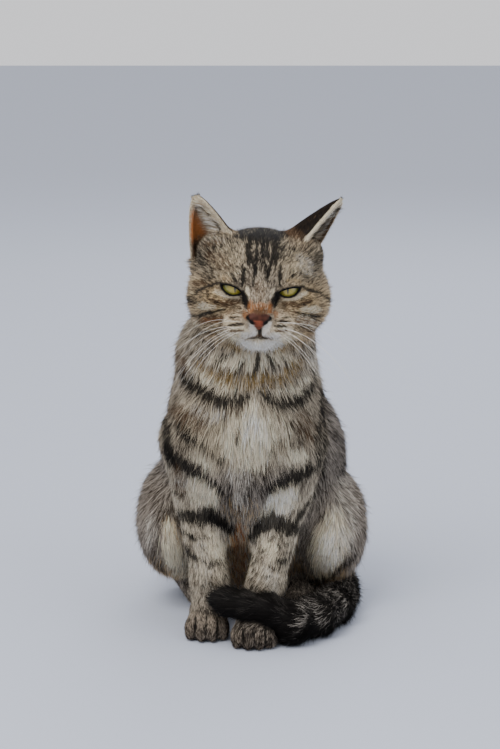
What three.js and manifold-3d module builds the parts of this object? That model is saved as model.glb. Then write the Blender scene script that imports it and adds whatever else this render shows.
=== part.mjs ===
import * as THREE from 'three';
import { mergeVertices } from 'three/addons/utils/BufferGeometryUtils.js';
import Module from 'manifold-3d';

// A grown short-haired tabby cat at life size. It sits upright on its haunches with the forelegs
// together, the head raised and the tail laid round its left side and over the forepaws.
// Millimetres, +Z up. The cat faces -Y and its left side is +X. The solids reach to the tips of the coat.
//
// Each form is a limb (a tapered round bar: from, to, radii) or an egg (centre, size = half axes,
// turn = degrees about Z). Forms melt into those before them over the width that blend gives.

const wasm = await Module();
wasm.setup();

// Driving sizes

const gap = 0.34;                 // clear space between neighbouring pieces
const weld = 0.01;                // points of one piece that are closer than this are one point
const floorLevel = 0;             // every sole, the rump and the tail are cut flat here
const reach = 900;                // edge of the blocks that cut the body apart

const trunkShape = {
  ribs: { from: [-6, -18, 150], to: [-1, 10, 210], radii: [52, 50], blend: 20 },
  back: { from: [-1, 16, 205], to: [2, 88, 92], radii: [47, 66], blend: 25 },
  flanks: { centre: [3.5, 48, 138], size: [82.5, 58, 82], blend: 22 },
  rump: { centre: [2, 100, 58], size: [66, 62, 61], blend: 20 },
  belly: { from: [-2, -2, 112], to: [2, 70, 62], radii: [46, 58], blend: 20 },
  neck: { from: [-2, -12, 214], to: [4, -24, 290], radii: [60, 50], blend: 22 },
  chest: { centre: [-7, -38, 190], size: [50, 38, 48], blend: 20 },
  rightShoulder: { centre: [-47, -12, 176], size: [25, 34, 46], blend: 18 },
  leftShoulder: { centre: [40, -12, 174], size: [25, 34, 46], blend: 18 },
};

// The head has its own axes: its centre is between the ears' roots and the throat, -Y is the nose.
// Forms marked paired stand on both sides of the middle.
const head = { at: [7.6, -50, 304], roll: 2, blend: 14 };
const headShape = {
  skull: { centre: [0, 8, 11], size: [51, 50, 38.5], blend: 10 },
  cheeks: { centre: [29, 6, -8], size: [31, 34, 31], blend: 12, paired: true },
  jaw: { centre: [0, -8, -24], size: [38, 38, 22], blend: 12 },
  underEyes: { centre: [26, -22, -6], size: [20, 20, 17], blend: 10, paired: true },
  brows: { centre: [21, -26, 21], size: [20, 13, 10], blend: 9, paired: true },
  earBases: { centre: [33, 2, 30], size: [19, 24, 17], blend: 8, paired: true },
  noseBridge: { from: [0, -28, 16], to: [0, -53, -8], radii: [17, 10], blend: 8 },
  whiskerPads: { centre: [12, -43, -21.5], size: [16.5, 19, 13], blend: 5, paired: true },
  chin: { centre: [0, -38, -33], size: [15, 15, 10], blend: 5 },
  noseTip: { centre: [0, -56.5, -14], size: [9.5, 7.5, 7], blend: 4 },
};

const eyeRadius = 10.5;
const lidDepth = 1.9;             // thickness of the eyelids over the eyeball
const lidBlend = 4;
const eyes = {
  right: { at: [-21.4, -31.6, 6.8], turn: -9, tilt: 18, halfWidth: 10.2, upper: 3, lower: 5.4 },
  left: { at: [22.7, -31.4, 7], turn: 9, tilt: -13, halfWidth: 10.2, upper: 2.2, lower: 5.8 },
};

// Each ear is a scoop: half of a hollow cone of oval section that opens along facing
const earWall = 3.2;
const earGap = 0.6;               // clear space round an ear's root, wider because its walls are bent
const earRootSink = 10;           // how deep the scoop's root goes into the head
const earWidthPower = 0.62;       // the width falls as (1 - height) to this power
const earDepthPower = 0.8;
const ears = {
  right: { root: [-37, 6, 27], tip: [-55, 2, 75], facing: [-0.35, -0.93, 0.1], width: 44, depth: 20 },
  left: { root: [35, 6, 29], tip: [65, 8, 76], facing: [0.9, -0.38, -0.2], width: 44, depth: 24 },
};

const forelegs = {
  right: { shoulder: [-50, -16, 165], elbow: [-43, -12, 118], wrist: [-35, -36, 48], paw: [-37, -44, 20],
    toeLine: -68 },
  left: { shoulder: [36, -18, 165], elbow: [28, -16, 118], wrist: [14, -46, 48], paw: [3, -60, 20],
    toeLine: -90 },
};
const forelegRadii = { shoulder: 30, elbow: 24, forearm: 23, wrist: 17, pastern: 16.5, paw: 15 };
const forepaw = { size: [18.5, 20, 14], height: 12.5, behindToes: 18 };
const foreToe = { size: [6.2, 10, 10], height: 8.6, behindTip: 9, spread: [-13.5, -4.8, 4.8, 13.5], outerBack: 5 };

const thighs = {
  right: { side: -1, centre: [-62.5, 62, 79], size: [39, 72, 57], turn: -8 },
  left: { side: 1, centre: [66, 62, 73], size: [39, 72, 57], turn: 8 },
};
const hindFoot = { hock: [60, 95, 22], ball: [42, 20, 13], radii: [18, 13.5], pad: [38, 0, 11.5],
  padSize: [16, 20, 12.5] };
const hindToe = { size: [5.8, 9, 9.5], height: 8.2, line: -10, middle: 37, spread: [-12, -4.2, 4.2, 12],
  outerBack: 4 };
const legBlend = 16;

// The tail's middle line from the rump round the left haunch to the tip on the forepaws
const tailLine = [[18, 138, 30], [50, 128, 16.4], [73, 98, 17.3], [82, 60, 18.3], [83, 25, 18.8], [77, -8, 19.2],
  [60, -42, 19.7], [36, -65, 20], [15, -77, 29], [-2, -78, 36], [-16, -73.5, 39], [-25, -68.5, 40]];
const tailRadii = [16, 17, 18, 19, 19.5, 20, 20.5, 20, 16.5, 14, 12.5, 9.5];
const tailSides = 12;
const tailSteps = 36;
const tailClear = 1.0;            // how far the body is grown before it is cut from the tail
const tailPieces = { tail_base: [0, 10], tail_side: [10, 18], tail_front: [18, 27], tail_tip: [27, 36] };

// Faces that each piece may have before it is cut from its neighbours
const bodyCell = 5;
const headCell = 3;
const bodyFaces = 2250;
const headFaces = 1350;
const detailWeight = { box: [[-90, -110, -10], [75, 30, 62]], value: 6 };    // feet keep more of their shape

// Planes that part the pieces: a point on the plane and the way it faces
const headPlane = { point: [5, -30, 281], normal: [0, -0.39, 0.92] };
const neckPlane = { point: [0, -20, 222], normal: [0, -0.35, 0.94] };
const forelegBlock = { low: [-61, -130, -20], high: [48, 14, 150] };
const forelegPlane = { point: [0, 12, 76], normal: [0, -0.49, -0.87] };
const betweenForelegs = -12;
const wristHeight = 44;
const hindFootBlock = { low: [16, -26, -20], high: [84, 118, 25] };
const thighCutGrow = 6;
const noseCut = { centre: [0, -62.5, -14.5], size: [11, 9, 8.2] };

// Signed distances: negative inside

function limbDistance({ from: [ax, ay, az], to, radii: [startRadius, endRadius] }) {
  const bx = to[0] - ax;
  const by = to[1] - ay;
  const bz = to[2] - az;
  const lengthSquared = bx * bx + by * by + bz * bz;
  return (x, y, z) => {
    const px = x - ax;
    const py = y - ay;
    const pz = z - az;
    const t = THREE.MathUtils.clamp((px * bx + py * by + pz * bz) / lengthSquared, 0, 1);
    return Math.hypot(px - t * bx, py - t * by, pz - t * bz) - THREE.MathUtils.lerp(startRadius, endRadius, t);
  };
}

function eggDistance({ centre: [cx, cy, cz], size: [sx, sy, sz], turn = 0 }) {
  const angle = THREE.MathUtils.degToRad(turn);
  const cos = Math.cos(angle);
  const sin = Math.sin(angle);
  return (x, y, z) => {
    const px = (cos * (x - cx) + sin * (y - cy)) / sx;
    const py = (cos * (y - cy) - sin * (x - cx)) / sy;
    const pz = (z - cz) / sz;
    const radial = Math.hypot(px, py, pz);
    const slope = Math.hypot(px / sx, py / sy, pz / sz);
    return radial * (radial - 1) / Math.max(slope, 1e-6);
  };
}

function melt(a, b, width) {
  const overlap = Math.max(width - Math.abs(a - b), 0) / width;
  return Math.min(a, b) - overlap * overlap * width / 4;
}

function fieldOf(shapes) {
  const forms = Object.values(shapes).map((shape) => ({
    ...shape,
    distance: shape.from ? limbDistance(shape) : eggDistance(shape),
  }));
  return (x, y, z) => {
    let result = Infinity;
    for (const { distance, blend, paired } of forms) {
      const d = distance(paired ? Math.abs(x) : x, y, z);
      result = result === Infinity ? d : melt(result, d, blend);
    }
    return result;
  };
}

const headTurn = new THREE.Matrix4().makeRotationY(THREE.MathUtils.degToRad(head.roll));
const headPlace = new THREE.Matrix4().makeTranslation(...head.at).multiply(headTurn);
const onHead = (point) => new THREE.Vector3(...point).applyMatrix4(headPlace);

function headField() {
  const forms = fieldOf(headShape);
  const toHead = headPlace.clone().invert();
  const p = new THREE.Vector3();
  return (x, y, z) => {
    p.set(x, y, z).applyMatrix4(toHead);
    let d = forms(p.x, p.y, p.z);
    for (const { at } of Object.values(eyes)) {
      const lid = Math.hypot(p.x - at[0], p.y - at[1], p.z - at[2]) - eyeRadius - lidDepth;
      d = melt(d, lid, lidBlend);
    }
    return d;
  };
}

function toeRow(toe, middle, line) {
  return toe.spread.map((across, i) => {
    const outer = i === 0 || i === toe.spread.length - 1;
    const back = line + toe.behindTip + (outer ? toe.outerBack : 0);
    return { centre: [middle + across, back, toe.height], size: toe.size, blend: 3 };
  });
}

function forelegField({ shoulder, elbow, wrist, paw, toeLine }) {
  const r = forelegRadii;
  return fieldOf([
    { from: shoulder, to: elbow, radii: [r.shoulder, r.elbow], blend: 10 },
    { from: elbow, to: wrist, radii: [r.forearm, r.wrist], blend: 10 },
    { from: wrist, to: paw, radii: [r.pastern, r.paw], blend: 8 },
    { centre: [paw[0], toeLine + forepaw.behindToes, forepaw.height], size: forepaw.size, blend: 6 },
    ...toeRow(foreToe, paw[0], toeLine),
  ]);
}

function hindlegField({ side, centre, size, turn }) {
  const mirrored = ([x, y, z]) => [side * x + 1, y, z];
  const toes = { ...hindToe, behindTip: 0 };
  return fieldOf([
    { centre, size, turn, blend: 16 },
    { from: mirrored(hindFoot.hock), to: mirrored(hindFoot.ball), radii: hindFoot.radii, blend: 10 },
    { centre: mirrored(hindFoot.pad), size: hindFoot.padSize, blend: 6 },
    ...toeRow(toes, side * hindToe.middle + 1, hindToe.line),
  ]);
}

function bodyField() {
  const trunk = fieldOf(trunkShape);
  const skull = headField();
  const legs = [...Object.values(forelegs).map(forelegField), ...Object.values(thighs).map(hindlegField)];
  return (x, y, z) => {
    const core = melt(trunk(x, y, z), skull(x, y, z), head.blend);
    let d = core;
    for (const leg of legs) d = melt(d, melt(core, leg(x, y, z), legBlend), 2);
    return d;
  };
}

// A grid square with two opposite corners inside and the others outside would tie two sheets of the
// surface together at one edge, so the nearer outer corner is filled until no such square is left
function fillSaddles(value, stride) {
  let changed = true;
  while (changed) {
    changed = false;
    for (const [u, v] of [[stride[0], stride[1]], [stride[1], stride[2]], [stride[2], stride[0]]]) {
      for (let n = 0; n + u + v < value.length; n++) {
        const first = value[n] < 0;
        if (first !== value[n + u + v] < 0 || first === value[n + u] < 0 || first === value[n + v] < 0) continue;
        const [a, b] = first ? [n + u, n + v] : [n, n + u + v];
        value[value[a] < value[b] ? a : b] = -0.001;
        changed = true;
      }
    }
  }
}

// A closed surface from a field: one point in each cell that the surface crosses, set down on the
// surface, and one pair of triangles across each grid edge that it crosses
function surfaceOf(field, [low, high], cell) {
  const [nx, ny, nz] = low.map((v, i) => Math.ceil((high[i] - v) / cell) + 1);
  const index = (i, j, k) => (i * ny + j) * nz + k;
  const stride = [ny * nz, nz, 1];
  const value = new Float64Array(nx * ny * nz);
  for (let i = 0; i < nx; i++) {
    for (let j = 0; j < ny; j++) {
      for (let k = 0; k < nz; k++) {
        value[index(i, j, k)] = field(low[0] + i * cell, low[1] + j * cell, low[2] + k * cell);
      }
    }
  }
  fillSaddles(value, stride);
  const corners = [0, 1, 2, 3, 4, 5, 6, 7].map((c) => [c >> 2 & 1, c >> 1 & 1, c & 1]);
  const edges = corners.flatMap((a, i) => corners.slice(i + 1)
    .filter((b) => Math.abs(a[0] - b[0]) + Math.abs(a[1] - b[1]) + Math.abs(a[2] - b[2]) === 1)
    .map((b) => [a, b]));
  const pointOf = new Int32Array(value.length).fill(-1);
  const points = [];
  for (let i = 0; i < nx - 1; i++) {
    for (let j = 0; j < ny - 1; j++) {
      for (let k = 0; k < nz - 1; k++) {
        const sum = new THREE.Vector3();
        let crossings = 0;
        for (const [a, b] of edges) {
          const va = value[index(i + a[0], j + a[1], k + a[2])];
          const vb = value[index(i + b[0], j + b[1], k + b[2])];
          if (va < 0 === vb < 0) continue;
          const t = va / (va - vb);
          sum.x += a[0] + t * (b[0] - a[0]);
          sum.y += a[1] + t * (b[1] - a[1]);
          sum.z += a[2] + t * (b[2] - a[2]);
          crossings++;
        }
        if (!crossings) continue;
        pointOf[index(i, j, k)] = points.length;
        const cellCorner = new THREE.Vector3(i, j, k);
        points.push(settle(field, sum.divideScalar(crossings).add(cellCorner).multiplyScalar(cell)
          .add(new THREE.Vector3(...low)), cell));
      }
    }
  }
  const faces = [];
  for (let axis = 0; axis < 3; axis++) {
    const u = stride[(axis + 1) % 3];
    const v = stride[(axis + 2) % 3];
    for (let n = 0; n + stride[axis] < value.length; n++) {
      const inside = value[n] < 0;
      if (inside === value[n + stride[axis]] < 0) continue;
      const ring = [n - u - v, n - v, n, n - u].map((m) => pointOf[m]);
      if (!inside) ring.reverse();
      faces.push([ring[0], ring[1], ring[2]], [ring[0], ring[2], ring[3]]);
    }
  }
  return { points, faces };
}

// Newton step along the field's slope, kept within the cell
function settle(field, point, cell) {
  const step = 0.05;
  const { x, y, z } = point;
  const slope = new THREE.Vector3(
    field(x + step, y, z) - field(x - step, y, z),
    field(x, y + step, z) - field(x, y - step, z),
    field(x, y, z + step) - field(x, y, z - step),
  ).divideScalar(2 * step);
  const move = slope.multiplyScalar(-field(x, y, z) / Math.max(slope.lengthSq(), 0.2));
  return point.add(move.clampLength(0, cell / 3));
}

// Edge collapse by the sum of squared distances to the planes that meet at each point:
// the flattest places lose their points first, until the budget of faces is met
function thinOut({ points, faces }, budget, weightAt = () => 1) {
  const ends = points.map(() => new Set());
  const around = points.map(() => new Set());
  const planes = points.map(() => new Float64Array(10));
  const alive = new Set(faces.keys());
  const normal = new THREE.Vector3();
  const triangle = new THREE.Triangle();
  for (const [f, face] of faces.entries()) {
    triangle.set(...face.map((v) => points[v]));
    triangle.getNormal(normal);
    const weight = triangle.getArea() * weightAt(points[face[0]]);
    const plane = [normal.x, normal.y, normal.z, -normal.dot(triangle.a)];
    for (const v of face) {
      around[v].add(f);
      for (const w of face) if (w !== v) ends[v].add(w);
      for (let i = 0, n = 0; i < 4; i++) {
        for (let j = i; j < 4; j++) planes[v][n++] += weight * plane[i] * plane[j];
      }
    }
  }
  const costAt = (q, { x, y, z }) => q[0] * x * x + 2 * q[1] * x * y + 2 * q[2] * x * z + 2 * q[3] * x
    + q[4] * y * y + 2 * q[5] * y * z + 2 * q[6] * y + q[7] * z * z + 2 * q[8] * z + q[9];
  const bestPoint = (q, a, b) => {
    const matrix = new THREE.Matrix3().set(q[0], q[1], q[2], q[1], q[4], q[5], q[2], q[5], q[7]);
    const middle = a.clone().lerp(b, 0.5);
    const size = q[0] + q[4] + q[7];
    if (matrix.determinant() < 1e-4 * size ** 3) return middle;
    const best = new THREE.Vector3(-q[3], -q[6], -q[8]).applyMatrix3(matrix.invert());
    return best.distanceTo(middle) < a.distanceTo(b) ? best : middle;
  };
  const flips = (v, other, target) => [...around[v]].some((f) => {
    if (faces[f].includes(other)) return false;
    triangle.set(...faces[f].map((w) => points[w]));
    triangle.getNormal(normal);
    triangle.set(...faces[f].map((w) => (w === v ? target : points[w])));
    return triangle.getNormal(new THREE.Vector3()).dot(normal) < 0.3;
  });
  while (alive.size > budget) {
    const list = [];
    for (const [a, set] of ends.entries()) {
      for (const b of set) {
        if (b < a) continue;
        const q = planes[a].map((n, i) => n + planes[b][i]);
        const target = bestPoint(q, points[a], points[b]);
        list.push({ a, b, q, target, cost: costAt(q, target) + 1e-3 * points[a].distanceToSquared(points[b]) });
      }
    }
    list.sort((one, two) => one.cost - two.cost);
    const touched = new Set();
    const before = alive.size;
    for (const { a, b, q, target } of list.slice(0, Math.ceil(list.length / 6))) {
      if (alive.size <= budget) break;
      if (touched.has(a) || touched.has(b)) continue;
      if ([...ends[a]].filter((v) => ends[b].has(v)).length !== 2) continue;
      if (flips(a, b, target) || flips(b, a, target)) continue;
      for (const f of around[b]) {
        if (faces[f].includes(a)) {
          for (const v of faces[f]) around[v].delete(f);
          alive.delete(f);
        } else {
          faces[f][faces[f].indexOf(b)] = a;
          around[a].add(f);
        }
      }
      for (const v of ends[b]) {
        ends[v].delete(b);
        if (v !== a) {
          ends[v].add(a);
          ends[a].add(v);
        }
      }
      ends[b].clear();
      around[b].clear();
      points[a] = target;
      planes[a] = q;
      for (const v of ends[a]) touched.add(v);
      touched.add(a).add(b);
    }
    if (alive.size === before) break;
  }
  return { points, faces: [...alive].map((f) => faces[f]) };
}

// Solids for cutting and joining

function solidOf({ points, faces }) {
  const used = new Map();
  const vertices = [];
  const triangles = faces.flat().map((v) => {
    if (!used.has(v)) {
      used.set(v, used.size);
      vertices.push(...points[v].toArray());
    }
    return used.get(v);
  });
  return new wasm.Manifold(new wasm.Mesh({
    numProp: 3,
    vertProperties: new Float32Array(vertices),
    triVerts: new Uint32Array(triangles),
  }));
}

function solidOfGeometry(geometry, matrix = new THREE.Matrix4()) {
  const bare = geometry.clone().applyMatrix4(matrix);
  bare.deleteAttribute('normal');
  bare.deleteAttribute('uv');
  const merged = mergeVertices(bare, 1e-4);
  return new wasm.Manifold(new wasm.Mesh({
    numProp: 3,
    vertProperties: new Float32Array(merged.attributes.position.array),
    triVerts: new Uint32Array(merged.index.array),
  }));
}

function blockBetween(low, high) {
  const size = high.map((v, i) => v - low[i]);
  const middle = high.map((v, i) => (v + low[i]) / 2);
  return solidOfGeometry(new THREE.BoxGeometry(...size), new THREE.Matrix4().makeTranslation(...middle));
}

// All that lies beyond a plane, moved along its normal by shift
function beyond({ point, normal }, shift = 0) {
  const way = new THREE.Vector3(...normal).normalize();
  const turn = new THREE.Quaternion().setFromUnitVectors(new THREE.Vector3(0, 0, 1), way);
  const middle = new THREE.Vector3(...point).addScaledVector(way, reach / 2 + shift);
  return solidOfGeometry(
    new THREE.BoxGeometry(reach, reach, reach),
    new THREE.Matrix4().compose(middle, turn, new THREE.Vector3(1, 1, 1)),
  );
}

function ellipsoid(centre, size, turn = 0, grow = 0, sides = 14, rings = 8) {
  const place = new THREE.Matrix4().makeTranslation(...centre)
    .multiply(new THREE.Matrix4().makeRotationZ(THREE.MathUtils.degToRad(turn)))
    .multiply(new THREE.Matrix4().makeScale(...size.map((v) => v + grow)));
  return solidOfGeometry(new THREE.SphereGeometry(1, sides, rings), place);
}

function largest(solid) {
  return solid.decompose().sort((a, b) => b.volume() - a.volume())[0];
}

// The solid's faces with points closer than weld made one, without the slivers that this empties
function geometryOf(solid) {
  const { vertProperties, triVerts } = solid.getMesh();
  const loose = new THREE.BufferGeometry();
  loose.setAttribute('position', new THREE.BufferAttribute(vertProperties, 3));
  loose.setIndex(new THREE.BufferAttribute(triVerts, 1));
  const geometry = mergeVertices(loose, weld);
  const index = [...geometry.index.array];
  const triangles = Array.from({ length: index.length / 3 }, (_, t) => index.slice(3 * t, 3 * t + 3));
  geometry.setIndex(triangles.filter((corners) => new Set(corners).size === corners.length).flat());
  geometry.computeVertexNormals();
  return geometry;
}

// A closed skin over rings of points, with a cap at each end: a fan for a round section, or a strip
// between the two halves of the ring for a bent wall
function tube(rings, bentWall = false) {
  const sides = rings[0].length;
  const points = rings.flat();
  const faces = [];
  for (let r = 0; r < rings.length - 1; r++) {
    for (let s = 0; s < sides; s++) {
      const a = r * sides + s;
      const b = r * sides + (s + 1) % sides;
      faces.push([a, b, b + sides], [a, b + sides, a + sides]);
    }
  }
  for (const [start, flipped] of [[0, true], [(rings.length - 1) * sides, false]]) {
    const cap = [];
    if (bentWall) {
      for (let s = 0; s < sides / 2 - 1; s++) {
        const across = sides - 1 - s;
        cap.push([s, s + 1, across - 1], [s, across - 1, across]);
      }
    } else {
      for (let s = 1; s < sides - 1; s++) cap.push([0, s, s + 1]);
    }
    for (const [a, b, c] of cap) faces.push([start + a, start + (flipped ? c : b), start + (flipped ? b : c)]);
  }
  return { points, faces };
}

// Ear: rings of the scoop's section, outer wall and back along the inner wall
function earSolid({ root, tip, facing, width, depth }, grow = 0) {
  const rows = 6;
  const across = 6;
  const edgeAngle = THREE.MathUtils.degToRad(96);
  const base = onHead(root);
  const axis = onHead(tip).sub(base);
  const length = axis.length();
  const up = axis.normalize();
  const front = new THREE.Vector3(...facing).transformDirection(headPlace);
  front.addScaledVector(up, -front.dot(up)).normalize();
  const side = new THREE.Vector3().crossVectors(up, front);
  const wall = earWall + 2 * grow;
  const rings = [];
  for (let row = 0; row <= rows; row++) {
    const height = THREE.MathUtils.lerp(-(earRootSink + grow) / length, 1, Math.sin(Math.PI / 2 * row / rows));
    const taper = THREE.MathUtils.clamp(1 - height, 0.004, 1);
    const halfWidth = width / 2 * taper ** earWidthPower + grow + 0.4;
    const halfDepth = depth * taper ** earDepthPower + grow + 0.4;
    const edge = edgeAngle + grow / halfDepth;
    const at = (angle, inset) => base.clone()
      .addScaledVector(up, height * length)
      .addScaledVector(side, Math.max(halfWidth - inset, halfWidth * 0.3) * Math.sin(angle))
      .addScaledVector(front, -Math.max(halfDepth - inset, halfDepth * 0.3) * Math.cos(angle));
    const ring = [];
    for (let i = 0; i <= across; i++) ring.push(at(edge * (2 * i / across - 1), 0));
    for (let i = across; i >= 0; i--) ring.push(at(edge * (2 * i / across - 1), wall));
    rings.push(ring);
  }
  const solid = solidOf(tube(rings, true));
  return solid.volume() > 0 ? solid : solidOf(tube(rings.map((ring) => ring.reverse()), true));
}

// Eyelids: a lens-shaped opening between two arcs, cut forwards from the eye's middle
function lidOpening({ at, turn, tilt, halfWidth, upper, lower }) {
  const outline = new THREE.Shape();
  const arcTo = (rise, fromX) => {
    const radius = (halfWidth ** 2 + rise ** 2) / (2 * rise);
    const half = Math.asin(halfWidth / radius);
    const sign = Math.sign(fromX);
    const start = Math.PI / 2 - half;
    const [first, last] = sign > 0 ? [start, Math.PI - start] : [Math.PI + start, 2 * Math.PI - start];
    outline.absarc(0, sign * (rise - radius), radius, first, last, false);
  };
  arcTo(upper, 1);
  arcTo(lower, -1);
  const geometry = new THREE.ExtrudeGeometry(outline, { depth: 3 * eyeRadius, bevelEnabled: false,
    curveSegments: 5 });
  const place = headPlace.clone()
    .multiply(new THREE.Matrix4().makeTranslation(...at))
    .multiply(new THREE.Matrix4().makeRotationZ(THREE.MathUtils.degToRad(turn)))
    .multiply(new THREE.Matrix4().makeRotationY(THREE.MathUtils.degToRad(tilt)))
    .multiply(new THREE.Matrix4().makeRotationX(Math.PI / 2));
  return solidOfGeometry(geometry, place);
}

function eyeball({ at }, grow = 0) {
  const facets = 2;
  return solidOfGeometry(
    new THREE.IcosahedronGeometry(eyeRadius + grow, facets),
    new THREE.Matrix4().makeTranslation(...onHead(at).toArray()),
  );
}

// Tail: round sections along a smooth curve, closed at each cut
function tailPiece([first, last]) {
  const curve = new THREE.CatmullRomCurve3(tailLine.map((p) => new THREE.Vector3(...p)), false, 'centripetal');
  const radiusAt = (t) => {
    const place = Math.min(t * (tailRadii.length - 1), tailRadii.length - 1 - 1e-6);
    const n = Math.floor(place);
    return THREE.MathUtils.lerp(tailRadii[n], tailRadii[n + 1], place - n);
  };
  const rings = [];
  const ringAt = (t, scale, shift) => {
    const along = curve.getTangent(t);
    const side = new THREE.Vector3().crossVectors(new THREE.Vector3(0, 0, 1), along).normalize();
    const up = new THREE.Vector3().crossVectors(along, side);
    const centre = curve.getPoint(t).addScaledVector(along, shift);
    const radius = radiusAt(t) * scale;
    return Array.from({ length: tailSides }, (_, s) => {
      const angle = 2 * Math.PI * (s + 0.5) / tailSides;
      return centre.clone().addScaledVector(side, radius * Math.cos(angle))
        .addScaledVector(up, radius * Math.sin(angle));
    });
  };
  for (let step = first; step <= last; step++) {
    const shift = step === first && first > 0 ? gap : 0;
    rings.push(ringAt(step / tailSteps, 1, shift));
  }
  if (last === tailSteps) {
    const endRadius = tailRadii[tailRadii.length - 1];
    for (const angle of [30, 60, 80]) {
      const turn = THREE.MathUtils.degToRad(angle);
      rings.push(ringAt(1, Math.cos(turn), endRadius * Math.sin(turn)));
    }
  }
  return solidOf(tube(rings));
}

// Looks of the pieces
const coat = new THREE.MeshStandardMaterial({ color: '#8a7d6b', roughness: 0.9, metalness: 0 });
const darkCoat = new THREE.MeshStandardMaterial({ color: '#5a5047', roughness: 0.9, metalness: 0 });
const noseSkin = new THREE.MeshStandardMaterial({ color: '#8c4a38', roughness: 0.6, metalness: 0 });
const eyeSurface = new THREE.MeshStandardMaterial({ color: '#a8a23f', roughness: 0.1, metalness: 0 });

const pieces = new Map();
const floorBlock = blockBetween([-reach, -reach, -reach], [reach, reach, floorLevel]);

// Head: the net of the body's field near the head, its ears, eyes and nose let in with a gap
const wholeField = bodyField();
const belowHead = 14;
const headNormal = new THREE.Vector3(...headPlane.normal).normalize();
const headPoint = new THREE.Vector3(...headPlane.point);
const headOnly = (x, y, z) => Math.max(
  wholeField(x, y, z),
  headPoint.clone().sub(new THREE.Vector3(x, y, z)).dot(headNormal) - belowHead,
);
const headBox = [[-75, -130, 228], [90, 45, 372]];
let headSolid = solidOf(thinOut(surfaceOf(headOnly, headBox, headCell), headFaces))
  .intersect(beyond(headPlane, gap / 2));
for (const [side, eye] of Object.entries(eyes)) {
  headSolid = headSolid.subtract(lidOpening(eye)).subtract(eyeball(eye, gap));
  pieces.set(`eye_${side}`, { solid: eyeball(eye), material: eyeSurface });
}
for (const [side, ear] of Object.entries(ears)) {
  headSolid = headSolid.subtract(earSolid(ear, earGap));
  pieces.set(`ear_${side}`, { solid: earSolid(ear), material: coat });
}
const noseAt = onHead(noseCut.centre).toArray();
pieces.set('nose', { solid: largest(headSolid.intersect(ellipsoid(noseAt, noseCut.size))), material: noseSkin });
headSolid = headSolid.subtract(ellipsoid(noseAt, noseCut.size, 0, gap));
pieces.set('head', { solid: largest(headSolid), material: coat });

// Body below the head
const bodyBox = [[-125, -120, -27], [130, 185, 333]];
const belowTop = (x, y, z) => Math.max(wholeField(x, y, z), z - (bodyBox[1][2] - 2 * bodyCell));
const weightAt = (p) => {
  const [low, high] = detailWeight.box;
  const inBox = p.toArray().every((v, i) => v > low[i] && v < high[i]);
  return inBox ? detailWeight.value : 1;
};
const bodyNet = thinOut(surfaceOf(belowTop, bodyBox, bodyCell), bodyFaces, weightAt);
const whole = solidOf(bodyNet).subtract(beyond(headPlane, -gap / 2)).subtract(floorBlock);
pieces.set('neck', { solid: largest(whole.intersect(beyond(neckPlane, gap / 2))), material: coat });
let rest = whole.subtract(beyond(neckPlane, -gap / 2));

for (const [side, thigh] of Object.entries(thighs)) {
  const { centre, size, turn } = thigh;
  const ends = (grow) => {
    const [low, high] = [hindFootBlock.low, hindFootBlock.high].map(([x, y, z]) => [thigh.side * x, y, z]);
    const xs = [low[0], high[0]].sort((a, b) => a - b);
    return blockBetween([xs[0] - grow, low[1] - grow, low[2]], [xs[1] + grow, high[1] + grow, high[2] + grow]);
  };
  const foot = rest.intersect(ends(0));
  rest = rest.subtract(ends(gap));
  pieces.set(`hindfoot_${side}`, { solid: largest(foot), material: coat });
  const haunch = rest.intersect(ellipsoid(centre, size, turn, thighCutGrow));
  rest = rest.subtract(ellipsoid(centre, size, turn, thighCutGrow + gap * 1.2));
  pieces.set(`thigh_${side}`, { solid: largest(haunch), material: coat });
}

const forelegSpace = (grow) => blockBetween(
  forelegBlock.low.map((v) => v - grow),
  forelegBlock.high.map((v) => v + grow),
).intersect(beyond(forelegPlane, -grow));
const bothForelegs = rest.intersect(forelegSpace(0));
rest = rest.subtract(forelegSpace(gap));
pieces.set('trunk', { solid: largest(rest), material: coat });
for (const side of ['left', 'right']) {
  const way = side === 'left' ? 1 : -1;
  const leg = bothForelegs.intersect(beyond({ point: [betweenForelegs, 0, 0], normal: [way, 0, 0] }, gap / 2));
  const wrist = { point: [0, 0, wristHeight], normal: [0, 0, 1] };
  pieces.set(`foreleg_${side}`, { solid: largest(leg.intersect(beyond(wrist, gap / 2))), material: coat });
  pieces.set(`forepaw_${side}`, { solid: largest(leg.subtract(beyond(wrist, -gap / 2))), material: coat });
}

// Tail: cut clear of the body's own faces, each point of them moved out by the tail's clearance
const grownField = (x, y, z) => wholeField(x, y, z) - tailClear;
const grownBody = solidOf({
  points: bodyNet.points.map((point) => settle(grownField, point.clone(), 3 * 2 * tailClear)),
  faces: bodyNet.faces,
});
for (const [name, span] of Object.entries(tailPieces)) {
  const solid = tailPiece(span).subtract(grownBody).subtract(floorBlock);
  pieces.set(name, { solid: largest(solid), material: darkCoat });
}

// The origin is on the floor under the middle of the cat's box
const cat = new THREE.Group();
for (const [name, { solid, material }] of pieces) {
  const mesh = new THREE.Mesh(geometryOf(solid), material.clone());
  mesh.name = name;
  cat.add(mesh);
}
const middle = new THREE.Box3().setFromObject(cat).getCenter(new THREE.Vector3());
cat.position.set(-middle.x, -middle.y, -floorLevel);

export default cat;
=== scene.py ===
import math
import time
import bpy
import numpy as np
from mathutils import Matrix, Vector, kdtree


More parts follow.
